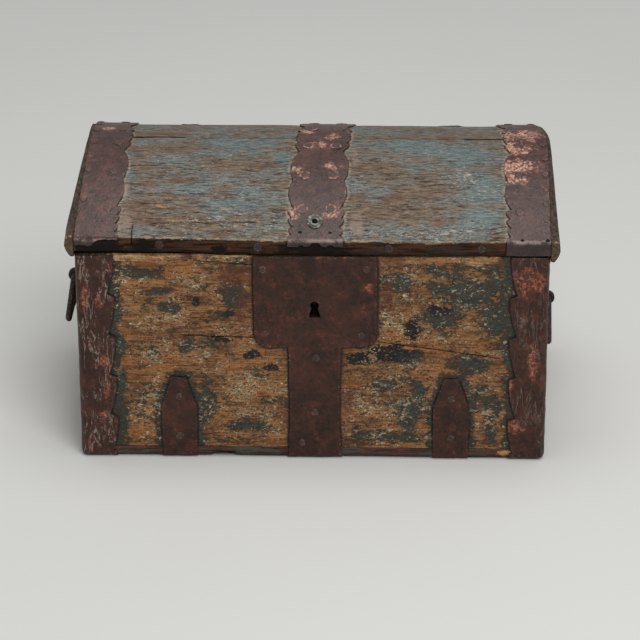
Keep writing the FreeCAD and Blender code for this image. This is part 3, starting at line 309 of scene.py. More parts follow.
class Coat:
    """Writes a node material as a chain of calls; lengths are in millimetres."""

    def __init__(self, name):
        self.material = bpy.data.materials.new(name)
        self.material.use_nodes = True
        self.nodes = self.material.node_tree.nodes
        self.links = self.material.node_tree.links
        self.shader = self.nodes["Principled BSDF"]
        coordinates = self.nodes.new("ShaderNodeTexCoord").outputs["Object"]
        middle = {0: coordinates, 1: (BOX_X * MM, 0, 0)}
        self.place = self.node("VectorMath", middle, operation="SUBTRACT").outputs[0]
        self.axes = self.node("SeparateXYZ", {"Vector": self.place}).outputs

    def node(self, kind, inputs, **settings):
        node = self.nodes.new("ShaderNode" + kind)
        for key, value in settings.items():
            setattr(node, key, value)
        for key, value in inputs.items():
            if isinstance(value, bpy.types.NodeSocket):
                self.links.new(value, node.inputs[key])
            else:
                node.inputs[key].default_value = value
        return node

    def math(self, operation, a, b=0.0, clamp=False):
        return self.node("Math", {0: a, 1: b}, operation=operation, use_clamp=clamp).outputs[0]

    def chain(self, operation, values):
        result = values[0]
        for value in values[1:]:
            result = self.math(operation, result, value)
        return result

    def times(self, *values):
        return self.chain("MULTIPLY", values)

    def plus(self, *values):
        return self.chain("ADD", values)

    def most(self, *values):
        return self.chain("MAXIMUM", values)

    def minus(self, a, b):
        return self.math("SUBTRACT", a, b)

    def swing(self, value, amount):
        """A noise as a swing about zero."""
        return self.times(self.minus(value, 0.5), amount)

    def step(self, value, low, high, top=1.0):
        """0 at low, top at high, smooth between; low may be above high."""
        inputs = {"Value": value, "From Min": low, "From Max": high, "To Min": 0.0, "To Max": top}
        return self.node("MapRange", inputs, interpolation_type="SMOOTHSTEP").outputs[0]

    def noise(self, size, detail=3.0, rough=0.6, seed=0, twist=0.0):
        """Noise from 0 to 1; size is the length of a wave along x, y and z."""
        if not isinstance(size, tuple):
            size = (size, size, size)
        shift = (3.1 * seed, 7.7 * seed, 5.3 * seed)
        scale = tuple(1 / (s * MM) for s in size)
        vector = self.node("Mapping", {"Vector": self.place, "Location": shift, "Scale": scale}).outputs[0]
        inputs = {"Vector": vector, "Scale": 1.0, "Detail": detail, "Roughness": rough, "Distortion": twist}
        return self.node("TexNoise", inputs).outputs[0]

    def grain(self, axis, long, wide, *character):
        """Noise whose waves are long along one axis."""
        return self.noise(tuple(long if i == axis else wide for i in range(3)), *character)

    def attribute(self, name):
        return self.node("Attribute", {}, attribute_name=name).outputs["Fac"]

    def mix(self, a, b, factor):
        node = self.node("Mix", {0: factor, 6: a, 7: b}, data_type="RGBA")
        return node.outputs[2]

    def between(self, first, second, value, low, high):
        """From one tone to another as a value goes from low to high."""
        return self.mix(tone(first), tone(second), self.step(value, low, high))

    def over(self, colour, name, value, low, high, amount=1.0):
        """A colour with a tone laid over it as a value goes from low to high."""
        return self.mix(colour, tone(name), self.step(value, low, high, amount))

    def patches(self, spots, weight=1.0):
        """How far inside the nearest of some ellipsoids a point lies: weight at a centre, 0 at the rim."""
        inside = []
        for centre, radii in spots:
            off = self.place
            for operation, vector in (("SUBTRACT", centre), ("DIVIDE", radii)):
                inputs = {0: off, 1: Vector(vector) * MM}
                off = self.node("VectorMath", inputs, operation=operation).outputs[0]
            length = self.node("VectorMath", {0: off}, operation="LENGTH").outputs["Value"]
            inside.append(self.math("SUBTRACT", 1.0, length, clamp=True))
        return self.times(self.most(*inside), weight)

    def finish(self, colour, roughness, height, relief, specular):
        """Give the shader its colour, roughness, specular level and a height map with its relief."""
        bump = self.node("Bump", {"Height": height, "Strength": 1.0, "Distance": relief * MM}).outputs[0]
        for key, value in (("Base Color", colour), ("Roughness", roughness), ("Normal", bump)):
            self.links.new(value, self.shader.inputs[key])
        self.shader.inputs["Specular IOR Level"].default_value = specular
        return self.material


def inside_wood(c, axis, fibre, where):
    """Unpainted wood on the inside of the box or the lid, with large dark stains."""
    colour = c.between(where + "_inside_dark", where + "_inside", fibre, 0.3, 0.7)
    return c.over(colour, where + "_inside_stain", c.grain(axis, 110, 40, 5, 0.7, 28), 0.4, 0.66, 0.7)


def box_wood(name, axis, front):
    """Ochre pine under the remains of dark green paint, with pale and dark specks of old ground."""
    c = Coat(name)
    fibre = c.grain(axis, 16, 0.9, 5, 0.72, 1)
    strand = c.grain(axis, 60, 3.4, 3, 0.6, 2)
    cloud = c.grain(axis, 40, 18, 4, 0.6, 3)
    rag = c.grain(axis, 8, 4.4, 6, 0.76, 4)
    fine = c.grain(axis, 2.1, 1.5, 2, 0.6, 5)
    crumb = c.grain(axis, 4.4, 2.6, 5, 0.8, 6)
    grit = c.grain(axis, 2.2, 1.4, 2, 0.6, 9)
    iron = c.attribute("iron")

    # Bare wood
    wood = c.between("pine_dark", "pine", fibre, 0.38, 0.62)
    wood = c.over(wood, "straw", strand, 0.48, 0.7, 0.55)
    wood = c.over(wood, "amber", cloud, 0.52, 0.66, 0.6)
    wood = c.over(wood, "umber", cloud, 0.49, 0.37, 0.7)
    wood = c.over(wood, "pore", fibre, 0.4, 0.28, 0.7)

    # Flecks and specks of old ground
    patchy = c.grain(axis, 18, 11, 4, 0.65, 7)
    fleck_spots = front_spots(FRONT_FLECKS) if front else SIDE_FLECKS
    cluster = c.plus(c.patches(fleck_spots, 0.07), c.swing(patchy, 0.4))
    wood = c.over(wood, "ground", c.plus(crumb, cluster), 0.47, 0.64, 0.65)
    chip = c.grain(axis, 4.0, 2.2, 5, 0.75, 10, 0.6)
    flecks = c.most(c.step(c.plus(chip, cluster), 0.605, 0.635),
                    c.step(c.plus(fine, cluster), 0.66, 0.7, 0.8))
    wood = c.mix(wood, c.between("chip_tan", "chip_cream", grit, 0.44, 0.58), c.times(flecks, 0.9))
    wood = c.over(wood, "speck", c.plus(grit, c.times(cluster, 0.6)), 0.595, 0.645, 0.85)

    # Paint, kept in patches and in the shelter of the irons
    keep = c.patches(front_spots(FRONT_PAINT) if front else SIDE_PAINT, 0.33)
    aside = c.step(c.math("ABSOLUTE", c.axes[0]), 55 * MM, 70 * MM)
    shelter = c.times(c.step(iron, 7.5, 2.0, 0.22), aside)
    broad = c.swing(c.grain(axis, 30, 15, 3, 0.55, 8), 0.6)
    field = c.plus(rag, broad, keep, shelter, c.swing(fine, 0.16))
    paint = c.step(field, 0.6, 0.65)
    green = c.between("green_dark", "green", crumb, 0.38, 0.62)
    green = c.over(green, "green_brown", cloud, 0.46, 0.58, 0.6)
    colour = c.mix(wood, green, c.times(paint, c.step(flecks, 1.4, 0.2)))
    colour = c.mix(colour, tone("wash"), c.times(c.step(field, 0.46, 0.6, 0.3), c.step(paint, 1.0, 0.2)))

    # Black remnants, rust beside the irons, and painted shadow with dirt along their edges
    if front:
        black = c.step(c.plus(c.patches(front_spots(FRONT_BLACK), 0.5), rag), 0.66, 0.7)
        colour = c.mix(colour, tone("black_paint"), c.times(black, c.step(fine, 0.66, 0.58)))
        stain = c.plus(c.patches(front_spots(FRONT_RUST), 0.4), rag)
        colour = c.over(colour, "rust_stain", stain, 0.56, 0.76, 0.55)
    halo = c.step(c.plus(iron, c.times(rag, 8)), 8.0, 4.6, 0.5)
    colour = c.mix(colour, tone("rust_halo"), c.times(halo, c.step(paint, 0.8, 0.1)))
    # Painted shadow with dirt in a narrow band along every iron
    colour = c.over(colour, "box_shadow_dirt", c.plus(iron, rag), 2.6, 0.8, 0.85)

    # Arrises worn bare
    rim = c.plus(c.attribute("edge"), c.swing(rag, 11))
    bare = c.times(c.step(rim, 0.9, 0.1), c.step(iron, 1.5, 4.0), c.step(c.axes[2], 20 * MM, 60 * MM))
    if front:
        bare = c.most(bare, c.step(c.plus(c.patches(front_spots(FRONT_BARE), 0.5), rag), 0.64, 0.72))
    worn = c.between("worn_dark", "worn", c.plus(c.times(fibre, 0.6), c.times(crumb, 0.4)), 0.38, 0.6)
    colour = c.mix(colour, worn, c.times(bare, 0.9))

    outside = c.step(c.attribute("depth"), 5.5, 4.5)
    colour = c.mix(inside_wood(c, axis, fibre, "box"), colour, outside)
    # Painted shade in the cracks and the keyhole
    colour = c.over(colour, "box_crack_shade", c.attribute("crevice_shade"), 0.2, 0.7)
    film = c.times(c.most(paint, c.times(flecks, 0.8)), outside)
    height = c.plus(fibre, c.times(film, 0.5), c.swing(crumb, 0.9))
    roughness = c.step(c.plus(c.times(paint, -0.3), crumb), -0.6, 1.1)
    return c.finish(colour, roughness, height, relief=0.65, specular=0.35)


def base_wood():
    """Dark reddish base board, nearly black along the floor, with a few bare chips."""
    c = Coat("base_wood")
    fibre = c.grain(0, 40, 1.2, 4, 0.65, 1)
    rag = c.grain(0, 9, 3, 5, 0.7, 2)
    fine = c.grain(0, 3, 1.4, 3, 0.7, 3)
    colour = c.between("base_dark", "base", fibre, 0.35, 0.65)
    colour = c.over(colour, "base_red", rag, 0.54, 0.64, 0.6)
    colour = c.over(colour, "base_grey", c.grain(0, 24, 5, 3, 0.6, 4), 0.52, 0.62, 0.7)
    colour = c.over(colour, "base_pale", fine, 0.66, 0.74, 0.8)
    colour = c.over(colour, "base_foot", c.plus(c.axes[2], c.times(rag, 3 * MM)), 4.5 * MM, 2.0 * MM, 0.7)
    bare = c.between("base_chip_red", "base_chip_ochre", c.axes[0], 0, 100 * MM)
    bare = c.over(bare, "base_chip_dark", fibre, 0.5, 0.36, 0.7)
    chips = c.plus(c.patches(BASE_CHIPS, 0.34), c.times(c.plus(rag, fine), 0.5))
    colour = c.mix(colour, bare, c.step(chips, 0.66, 0.72))
    return c.finish(colour, c.step(fine, -0.6, 1.0), fibre, relief=0.4, specular=0.3)


def edge_face(c, rag, fine, rise):
    """Front edge of the lid: dark brown, black along the bottom and where soot sticks to it."""
    face = c.between("edge_dark", "edge", c.grain(0, 30, 2.2, 5, 0.7, 18), 0.34, 0.68)
    face = c.over(face, "edge_green", c.grain(0, 22, 7, 4, 0.65, 19), 0.52, 0.6, 0.4)
    face = c.over(face, "edge_black", c.plus(rise, c.times(rag, 8)), 7.5, 3.5, 0.85)
    face = c.over(face, "edge_fleck", fine, 0.66, 0.74, 0.25)
    return c.over(face, "edge_black", c.plus(c.patches(LID_SOOT, 0.4), rag), 0.6, 0.72, 0.95)


def lid_wood(name, axis, gable):
    """Weathered pine, eroded along its grain, with thin slate-blue paint left in it.

    The boards have a dark front edge; the ends are darker along the arch and brown at the foot."""
    c = Coat(name)
    fibre = c.grain(axis, 6, 1.0, 6, 0.76, 11, 0.4)
    strand = c.grain(axis, 40, 2.8, 4, 0.65, 12)
    rag = c.grain(axis, 8, 2.6, 6, 0.78, 13)
    fine = c.grain(axis, 2.8, 1.3, 2, 0.6, 14)
    cloud = c.grain(axis, 40, 16, 4, 0.62, 15)
    groove = c.grain(axis, 11, 1.4, 5, 0.72, 16, 0.3)
    iron, rise, depth = [c.attribute(layer) for layer in ("iron", "rise", "depth")]

    # Wood, and paint in it
    wood = c.between("grey_dark", "grey", fibre, 0.36, 0.64)
    wood = c.over(wood, "grey_straw", strand, 0.5, 0.7, 0.5)
    wood = c.over(wood, "grey_brown", c.grain(axis, 24, 7, 5, 0.7, 17), 0.5, 0.64, 0.6)
    slate = c.between("slate_dark", "slate", fibre, 0.36, 0.64)
    teal_spots = c.patches(lid_spots(LID_TEAL))
    teal = c.plus(c.times(teal_spots, 0.26), c.times(rag, 0.75), c.times(fine, 0.25))
    slate = c.mix(slate, c.between("teal_dark", "teal", fibre, 0.3, 0.7), c.step(teal, 0.55, 0.68, 0.75))
    lean = c.minus(c.times(teal_spots, 0.2), c.patches(lid_spots(LID_BROWN), 0.24))
    field = c.plus(rag, c.swing(cloud, 0.8), lean)
    colour = c.mix(wood, slate, c.step(field, 0.4, 0.6, 0.85))

    # Stains, grooves and flecks
    colour = c.over(colour, "lid_red", c.plus(c.patches(lid_spots(LID_RED), 0.26), rag), 0.56, 0.7, 0.7)
    colour = c.over(colour, "lid_ochre", c.plus(c.patches(lid_spots(LID_OCHRE), 0.24), rag), 0.64, 0.74, 0.8)
    colour = c.over(colour, "lid_pale", c.plus(c.patches(lid_spots(LID_PALE), 0.4), rag), 0.56, 0.7, 0.7)
    colour = c.over(colour, "lid_groove", groove, 0.42, 0.32, 0.75)
    scraped = c.plus(c.patches(lid_spots(LID_SCRAPED), 0.07), c.swing(cloud, 0.3))
    chip = c.grain(axis, 4.5, 1.7, 5, 0.75, 20, 0.5)
    flecks = c.most(c.step(c.plus(chip, scraped), 0.61, 0.65),
                    c.step(c.plus(fine, scraped), 0.66, 0.71, 0.8))
    colour = c.mix(colour, tone("lid_fleck"), c.times(flecks, 0.6))

    roughness = c.step(c.plus(c.times(field, -0.3), fine), -0.6, 1.1)
    below_top = c.step(rise, LID_EDGE + 0.2, LID_EDGE - 1.0)
    if gable:
        # Darker along the arch, near the outer skin and above the lid edge
        arch_rim = c.between("arch_rim_dark", "arch_rim", rag, 0.36, 0.62)
        colour = c.mix(colour, arch_rim, c.times(c.step(depth, 9, 1), c.step(rise, 1, 12), 0.9))
        foot = c.between("foot_dark", "foot", c.plus(c.times(rag, 0.5), c.times(fibre, 0.5)), 0.38, 0.62)
        colour = c.mix(colour, foot, c.step(rise, 16, 4, 0.9))
        outside = c.step(c.math("ABSOLUTE", c.axes[0]), 164.5 * MM, 167 * MM)
    else:
        ghost = c.times(c.step(iron, 0.2, 0.7), c.step(iron, 2.6, 1.2), c.step(rag, 0.42, 0.55, 0.7))
        colour = c.mix(colour, tone("lid_ghost"), ghost)
        colour = c.mix(colour, edge_face(c, rag, fine, rise), below_top)
        roughness = c.most(roughness, below_top)
        outside = c.step(depth, 5.5, 4.5)

    # Painted shadow and dirt beside the irons, reaching farther on the front face; front arris worn bare
    colour = c.over(colour, "lid_shadow_dirt", c.plus(iron, c.times(below_top, -0.6)), 0.8, 0.1, 0.85)
    rim = c.plus(c.attribute("edge"), c.swing(rag, 10))
    bare = c.times(c.step(rim, 0.9, 0.0), c.step(rise, LID_EDGE - 3, LID_EDGE - 1),
                   c.step(rise, LID_EDGE + 4, LID_EDGE + 2), c.step(iron, 0.5, 2.5))
    colour = c.mix(colour, c.between("arris_dark", "arris", fibre, 0.35, 0.65), c.times(bare, 0.85))

    colour = c.mix(inside_wood(c, axis, fibre, "lid"), colour, outside)
    # Painted shade in the split, the saw cut and the open ridge joint
    colour = c.over(colour, "lid_crack_shade", c.attribute("crevice_shade"), 0.2, 0.7)
    height = c.plus(fibre, c.times(c.step(groove, 0.44, 0.32), -0.8), c.times(flecks, 0.4))
    return c.finish(colour, roughness, height, relief=0.65, specular=0.25)


def scratches(c, colour, grit):
    """Fine pale scratches down the corner irons, most of them on the left and on the front."""
    left = c.step(c.axes[0], -142 * MM, -148 * MM)
    right = c.step(c.axes[0], 142 * MM, 148 * MM, 0.4)
    vein = c.math("ABSOLUTE", c.minus(c.noise((5, 6, 26), 5, 0.6, 25, 1.2), 0.5))
    lines = c.times(c.step(vein, 0.03, 0.008), c.step(grit, 0.36, 0.5))
    skin = c.step(c.noise((9, 20, 24), 3, 0.6, 26), 0.44, 0.56)
    ahead = c.plus(c.step(c.axes[1], (FRONT + 8) * MM, (FRONT + 2) * MM, 0.45), 0.3)
    return c.mix(colour, tone("scratch"), c.times(lines, c.plus(left, right), skin, ahead))


def fold_marks(c, colour, patch):
    """Front ends of the lid straps: a rubbed bend with a painted highlight, a lower part darkened with
    painted shade and dirt, open nail holes in painted shade, which come back too.
    """
    ahead = c.step(c.axes[1], 0, -60 * MM)
    bend = c.times(c.step(c.axes[2], (EDGE_TOP - 1.6) * MM, (EDGE_TOP - 0.4) * MM),
                   c.step(c.axes[2], (EDGE_TOP + 2) * MM, (EDGE_TOP + 0.4) * MM))
    # Painted highlight along the bend, which is also rubbed bright
    colour = c.mix(colour, tone("rubbed"), c.times(bend, ahead, c.step(patch, 0.38, 0.56), 0.4))
    # Painted shade and dirt darken the lower part of the fold
    ragged = c.plus(c.axes[2], c.times(patch, 4 * MM))
    under = c.step(ragged, (EDGE_TOP + 1.5) * MM, (EDGE_TOP - 1.5) * MM, 0.65)
    colour = c.mix(colour, tone("iron_shade"), c.times(under, ahead))
    # Open nail holes as near-black spots: painted shade
    hole_shade = c.step(c.patches(FOLD_HOLES), 0.1, 0.3)
    return c.mix(colour, tone("hole_shade"), hole_shade), hole_shade


def forged(name, shades, rough, gloss, spots=None, scratched=False, folded=False, rim=None):
    """Old wrought iron: brown skin with darker clouds, rust where it has flaked, scuffs, painted shade along
    the edges, painted glints, and a lighter rim on nail heads and the washer.
    """
    c = Coat(name)
    low, high, blush, rust, flake = [rgb(code) for code in shades.split()]
    cloud = c.noise(30, 4, 0.6, 21)
    patch = c.noise(8, 6, 0.72, 22)
    fine = c.noise(2.6, 4, 0.7, 23)
    grit = c.noise(1.3, 2, 0.6, 24)
    edge = c.attribute("edge")
    colour = c.mix(low, high, c.step(c.plus(c.times(cloud, 0.5), c.times(fine, 0.5)), 0.34, 0.66))
    colour = c.mix(colour, blush, c.step(patch, 0.46, 0.64, 0.7))
    colour = c.over(colour, "pit", fine, 0.42, 0.3, 0.6)

    # Rust
    where = c.step(edge, 2.6, 0.8, 0.04)
    if spots:
        where = c.plus(c.patches(spots, 0.34), where)
    field = c.plus(c.times(patch, 0.6), c.times(fine, 0.4), where)
    colour = c.over(colour, "iron_red", field, 0.52, 0.64, 0.5)
    flaked = c.step(field, 0.59, 0.76)
    scale = c.mix(rust, flake, c.step(grit, 0.38, 0.6))
    scale = c.over(scale, "scale_dark", fine, 0.56, 0.42, 0.85)
    colour = c.mix(colour, scale, c.times(flaked, 0.85))

    # Scratches, painted shade along the edges, painted glints, folds and nail heads
    roughness = c.plus(c.step(fine, 0.3, 0.7, 0.22), c.times(flaked, 0.25), rough - 0.11)
    if scratched:
        colour = scratches(c, colour, grit)
    if not rim:
        # Painted shade along the edges of the iron
        colour = c.over(colour, "iron_shade", edge, 0.9, 0.2, 0.55)
    # Painted highlights: glints near the edges and in specks
    colour = c.over(colour, "painted_glint", c.plus(c.step(edge, 2.4, 0.8, 0.12), grit), 0.7, 0.8, gloss)
    if folded:
        colour, hole_shade = fold_marks(c, colour, patch)
        roughness = c.most(roughness, hole_shade)
    if rim:
        middle = c.step(c.math("ABSOLUTE", c.axes[0]), 34 * MM, 30 * MM)
        bright = c.times(c.step(edge, 1.7, 0.5), c.step(c.noise(3.4, 4, 0.7, 27), 0.46, 0.58))
        colour = c.mix(colour, rgb(rim), c.times(bright, middle, 0.7))
    height = c.plus(c.times(fine, 1.3), c.times(patch, 2.0), c.times(grit, 0.3), c.times(flaked, -0.4))
    return c.finish(colour, roughness, height, relief=0.4, specular=gloss)


# Mesh work

def fade(t):
    """Smooth step from 0 at t = 0 to 1 at t = 1."""
    t = min(1.0, max(0.0, t))
    return t * t * (3 - 2 * t)


def local(p):
    """Millimetres from the middle of the box in x and y, and above the floor in z."""
    return p.x / MM - BOX_X, p.y / MM - BOX_Y, p.z / MM


def spot(x, y, z):
    return Vector((x + BOX_X, y + BOX_Y, z)) * MM


def sharp_edges(bm):
    limit = math.radians(SHARP_DEGREES)
    return [e for e in bm.edges if e.is_manifold and e.calc_face_angle(0) > limit]


def points_along(edges, spacing=1 * MM):
    points = []
    for e in edges:
        a, b = e.verts[0].co, e.verts[1].co
        count = max(1, int((b - a).length / spacing))
        points += [a.lerp(b, i / count) for i in range(count + 1)]
    return points


def tree_of(points):
    tree = KDTree(len(points))
    for i, p in enumerate(points):
        tree.insert(p, i)
    tree.balance()
    return tree


def cut(bm, faces, place, normal):
    """Cut some faces by a plane."""
    edges = dict.fromkeys(e for f in faces for e in f.edges)
    verts = dict.fromkeys(v for f in faces for v in f.verts)
    geometry = list(verts) + list(edges) + list(faces)
    bmesh.ops.bisect_plane(bm, geom=geometry, dist=ON_PLANE, plane_co=place, plane_no=normal)


def slice_grid(bm, step):
    """Cut a mesh by three families of planes, so that flat faces get points to wear and bend."""
    for axis in range(3):
        values = [v.co[axis] for v in bm.verts]
        highest = max(values)
        normal = Vector([float(i == axis) for i in range(3)])
        place = min(values) + step * GRID_START
        while place < highest:
            geometry = bm.verts[:] + bm.edges[:] + bm.faces[:]
            bmesh.ops.bisect_plane(bm, geom=geometry, dist=ON_PLANE, plane_co=normal * place, plane_no=normal)
            place += step


def soften(bm, edges, offset, segments, profile):
    bmesh.ops.bevel(bm, geom=edges, offset=offset, segments=segments, profile=profile, affect="EDGES",
                    clamp_overlap=True)


def refined(node, step, bevel, shape=None, arris=None):
    """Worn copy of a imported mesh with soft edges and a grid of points, and a tree of its sharp edges."""
    bm = bmesh.new()
    bm.from_mesh(frame["nodes"][node].data)
    for name in LAYERS:
        bm.verts.layers.float.new(name)
    bmesh.ops.remove_doubles(bm, verts=bm.verts, dist=WELD)
    bmesh.ops.dissolve_limit(bm, angle_limit=math.radians(FLAT_DEGREES), verts=bm.verts, edges=bm.edges)
    edges = tree_of(points_along(sharp_edges(bm)))
    if arris:
        soften(bm, [e for e in sharp_edges(bm) if arris(e)], FOLD_ROUND * MM, segments=3, profile=0.5)
    soften(bm, sharp_edges(bm), bevel, segments=2, profile=0.6)
    slice_grid(bm, step)
    bm.normal_update()
    if shape:
        shape(bm)
        bm.normal_update()
    return bm, edges


def calm(p):
    """0 where pieces turn on each other, at the hinge line and the handles, 1 away from there."""
    x, y, z = local(p)
    hinge = fade((math.hypot(y - HINGE_Y, z - HINGE_Z) - 5) / 18)
    handle = fade((BOX_HALF_W + 2.4 - abs(x)) / 3) if z < LID_Z - 10 else 1.0
    return hinge * handle


def warp(p, body):
    """Hand-made unevenness that all pieces share, so that they stay seated on each other; none at the floor.

    The lid has twisted too: its front left corner stands up from the box, and its ends lean in."""
    broad = noise.noise_vector(p / (BROAD_WAVE * MM)) * BROAD_SHIFT * MM
    little = noise.noise_vector(p / (LITTLE_WAVE * MM) + Vector((7, 3, 5))) * LITTLE_SHIFT * MM
    shift = (broad + little) * calm(p)
    shift.z *= fade(p.z / (20 * MM))
    if body == "lid":
        x, y, z = local(p)
        shift.z += LID_TWIST * MM * fade((20 - x) / 185) * max(0.0, (20 - y) / 119) ** 1.5
        shift.x += LEFT_LEAN * MM * fade((-80 - x) / 80) * fade((z - 166) / 60) * calm(p)
        shift.x -= RIGHT_LEAN * MM * fade((x - 110) / 60) * fade((y + 6) / 68) * fade((z - 166) / 40)
    return shift


def depth_of(p):
    """Millimetres from the outer skin of the box or the lid to a point inside it."""
    x, y, z = local(p)
    below = ARCH_R - math.hypot(y, z - ARCH_Z)
    if abs(x) > BOX_HALF_W + 0.5:
        return max(0.0, below)
    if z < LID_Z - 0.5:
        return min(BOX_HALF_W - abs(x), BOX_HALF_D - abs(y))
    return min(below, LID_HALF_D - abs(y))


def new_object(name, data):
    thing = bpy.data.objects.new(name, data)
    bpy.context.scene.collection.objects.link(thing)
    return thing


def to_object(bm, name):
    """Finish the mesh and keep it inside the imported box."""
    low, high = CAD_BOX
    for v in bm.verts:
        v.co = Vector([min(max(v.co[i], low[i]), high[i]) for i in range(3)])
    many = [f for f in bm.faces if len(f.verts) > 4]
    bmesh.ops.triangulate(bm, faces=many)
    mesh = bpy.data.meshes.new(name)
    bm.to_mesh(mesh)
    bm.free()
    mesh.shade_smooth()
    mesh.set_sharp_from_angle(angle=math.radians(SMOOTH_DEGREES))
    return new_object(name, mesh)


def body_of(node):
    return frame["nodes"][node]["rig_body"]


def stand_for(piece, node, material):
    """The piece takes the place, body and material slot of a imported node."""
    piece.data.materials.append(material)
    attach(piece, body_of(node))
    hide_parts(node)


def iron_tree():
    """All straps and plates as one surface, to find how near a spot of wood is to iron."""
    points, faces = [], []
    for node in BOX_IRONS + LID_IRONS:
        mesh = frame["nodes"][node].data
        start = len(points)
        points += [v.co.copy() for v in mesh.vertices]
        faces += [[start + i for i in p.vertices] for p in mesh.polygons]
    return BVHTree.FromPolygons(points, faces)


def carve(bm, start, end, inward, depth, wander=0.8):
    """Open a crack along a straight line on a face: three rows of points, the middle one pushed in."""
    half = 0.55 * MM
    reach = 5 * MM
    skin = 2 * MM
    wave = 9 * MM
    run = end - start
    length = run.length
    run.normalize()
    across = run.cross(inward).normalized()

    def place(p):
        off = p - start
        return off.dot(run), off.dot(across), off.dot(inward)

    def near(p, margin):
        along_run, aside, below = place(p)
        return -margin < along_run < length + margin and abs(aside) < reach and abs(below) < skin

    for offset in (-half, 0.0, half):
        faces = [f for f in bm.faces if near(f.calc_center_median(), 3 * MM)]
        cut(bm, faces, start + across * offset, across)
    crevice_shade = bm.verts.layers.float["crevice_shade"]
    for v in bm.verts:
        if near(v.co, 0):
            along_run, aside, _ = place(v.co)
            t = along_run / length
            # Points of the middle row are pushed in and get painted shade in the crack
            if abs(aside) < 0.05 * MM:
                v[crevice_shade] = 1.0
                v.co += inward * (depth * MM * math.sqrt(math.sin(math.pi * min(0.98, max(0.02, t)))))
            bend = noise.noise(Vector((along_run / wave, 3.7, 1.1)))
            v.co += across * (wander * MM * bend * (1 - abs(aside) / reach) ** 2 * math.sin(math.pi * t))


def wear_front(bm):
    """Drying cracks beside the lock plate, a top edge rubbed away on the left, and a widened keyhole in
    painted shade.
    """
    face = -BOX_HALF_D
    for (x0, z0), (x1, z1), depth in FRONT_CRACKS:
        carve(bm, spot(x0, face, z0), spot(x1, face, z1), Vector((0, 1, 0)), depth)
    crevice_shade = bm.verts.layers.float["crevice_shade"]
    for v in bm.verts:
        x, y, z = local(v.co)
        slope = 1.6 + 3.0 * fade((-60 - x) / 40) * (0.8 + 0.6 * noise.noise(v.co / (14 * MM)))
        over = z - (LID_Z - 1 - slope)
        if over > 0 and y < face + slope:
            v.co.y = max(v.co.y, (BOX_Y + face + 0.8 * over) * MM)
        aside, above = x - KEYHOLE[0], z - KEYHOLE[1]
        # Painted shade in the keyhole, which is also widened
        if math.hypot(aside, above) < KEYHOLE_R and abs(aside) < KEYHOLE_R / 2:
            v[crevice_shade] = 1.0
            v.co.x += 0.3 * aside * MM
            v.co.z += 0.12 * above * MM


def open_seam(bm):
    """The joint along the ridge shows only near the ends; paint has closed it between."""
    crevice_shade = bm.verts.layers.float["crevice_shade"]
    for v in bm.verts:
        x, y, z = local(v.co)
        if abs(y) > 1.6 or depth_of(v.co) > 1.4:
            continue
        shut = fade((x - SEAM_SHUT[0]) / 6) * fade((SEAM_SHUT[1] - x) / 6)
        # Painted shade in the joint where it is still open
        if abs(y) < 1.2:
            v[crevice_shade] = 1 - shut
        outward = Vector((0, y, z - ARCH_Z)).normalized()
        flat = spot(x, 0, ARCH_Z) + outward * (ARCH_R * MM)
        flat.y = (BOX_Y + math.copysign(0.03, y) + (y if abs(y) > 1.2 else 0)) * MM
        v.co = v.co.lerp(flat, shut)


def into_lid(d):
    """Direction into the lid at a distance in front of the ridge."""
    return Vector((0, d, ARCH_Z - arch_height(d))).normalized()


def cut_front_edge(bm):
    """Seam along the ridge, a split along the front edge, and a saw cut across it beside the left strap."""
    open_seam(bm)
    start, end = [spot(x, -d, arch_height(d)) for x, d in LID_SPLIT]
    carve(bm, start, end, into_lid(LID_SPLIT[0][1]), depth=1.5)
    d = LID_HALF_D - 0.1
    high = arch_height(d)
    back = spot(SAW_CUT_X, -SAW_CUT_BACK, arch_height(SAW_CUT_BACK))
    carve(bm, back, spot(SAW_CUT_X, -d - 1, high - 0.6), into_lid(d), depth=2.2, wander=0.4)
    top, bottom = [spot(SAW_CUT_X, -LID_HALF_D, z) for z in (high + 1, LID_Z + 5)]
    carve(bm, top, bottom, Vector((0, 1, 0)), depth=2.6, wander=0.4)


def chip_base(bm):
    """A splinter is missing from the lower front edge of the base."""
    for v in bm.verts:
        x, y, z = local(v.co)
        gone = fade((9 - abs(x - BASE_CHIP_X)) / 3) * fade((5.5 - z) / 2.5)
        if y < -BOX_HALF_D + 8:
            v.co.y += 4.5 * MM * gone * fade((-y - BOX_HALF_D + 8) / 8)


def shorten_fold(bm, share):
    """Leave a share of the folded front end of a lid strap; the share depends on the place."""
    for v in bm.verts:
        _, y, z = local(v.co)
        if z < EDGE_TOP - 0.8 and y < -LID_HALF_D + 2:
            v.co.z = (EDGE_TOP - (EDGE_TOP - z) * share(v.co)) * MM


def tear_fold(bm):
    """The folded end of the left strap is torn off, except for a stub at its outer side."""
    def share(p):
        x = local(p)[0]
        return 0.62 - 0.48 * fade((x - TEAR_X) / 3) + 0.12 * noise.noise(p / (3 * MM))

    shorten_fold(bm, share)


def short_fold(bm):
    """The folded end of the middle strap covers half of the lid edge; its middle bite goes up to the bend."""
    def share(p):
        x = local(p)[0]
        return 0.6 - 0.3 * fade((6 - abs(x - FOLD_BITE)) / 4)

    shorten_fold(bm, share)


def round_gable(bm):
    """The lower outer edge of a lid end is rubbed away."""
    for v in bm.verts:
        x, _, z = local(v.co)
        thinned = GABLE_THINNED * fade((LID_Z + 5 - z) / 12)
        beyond = max(0.0, abs(x) - GABLE_INNER)
        v.co.x -= math.copysign(thinned * beyond * MM, x)


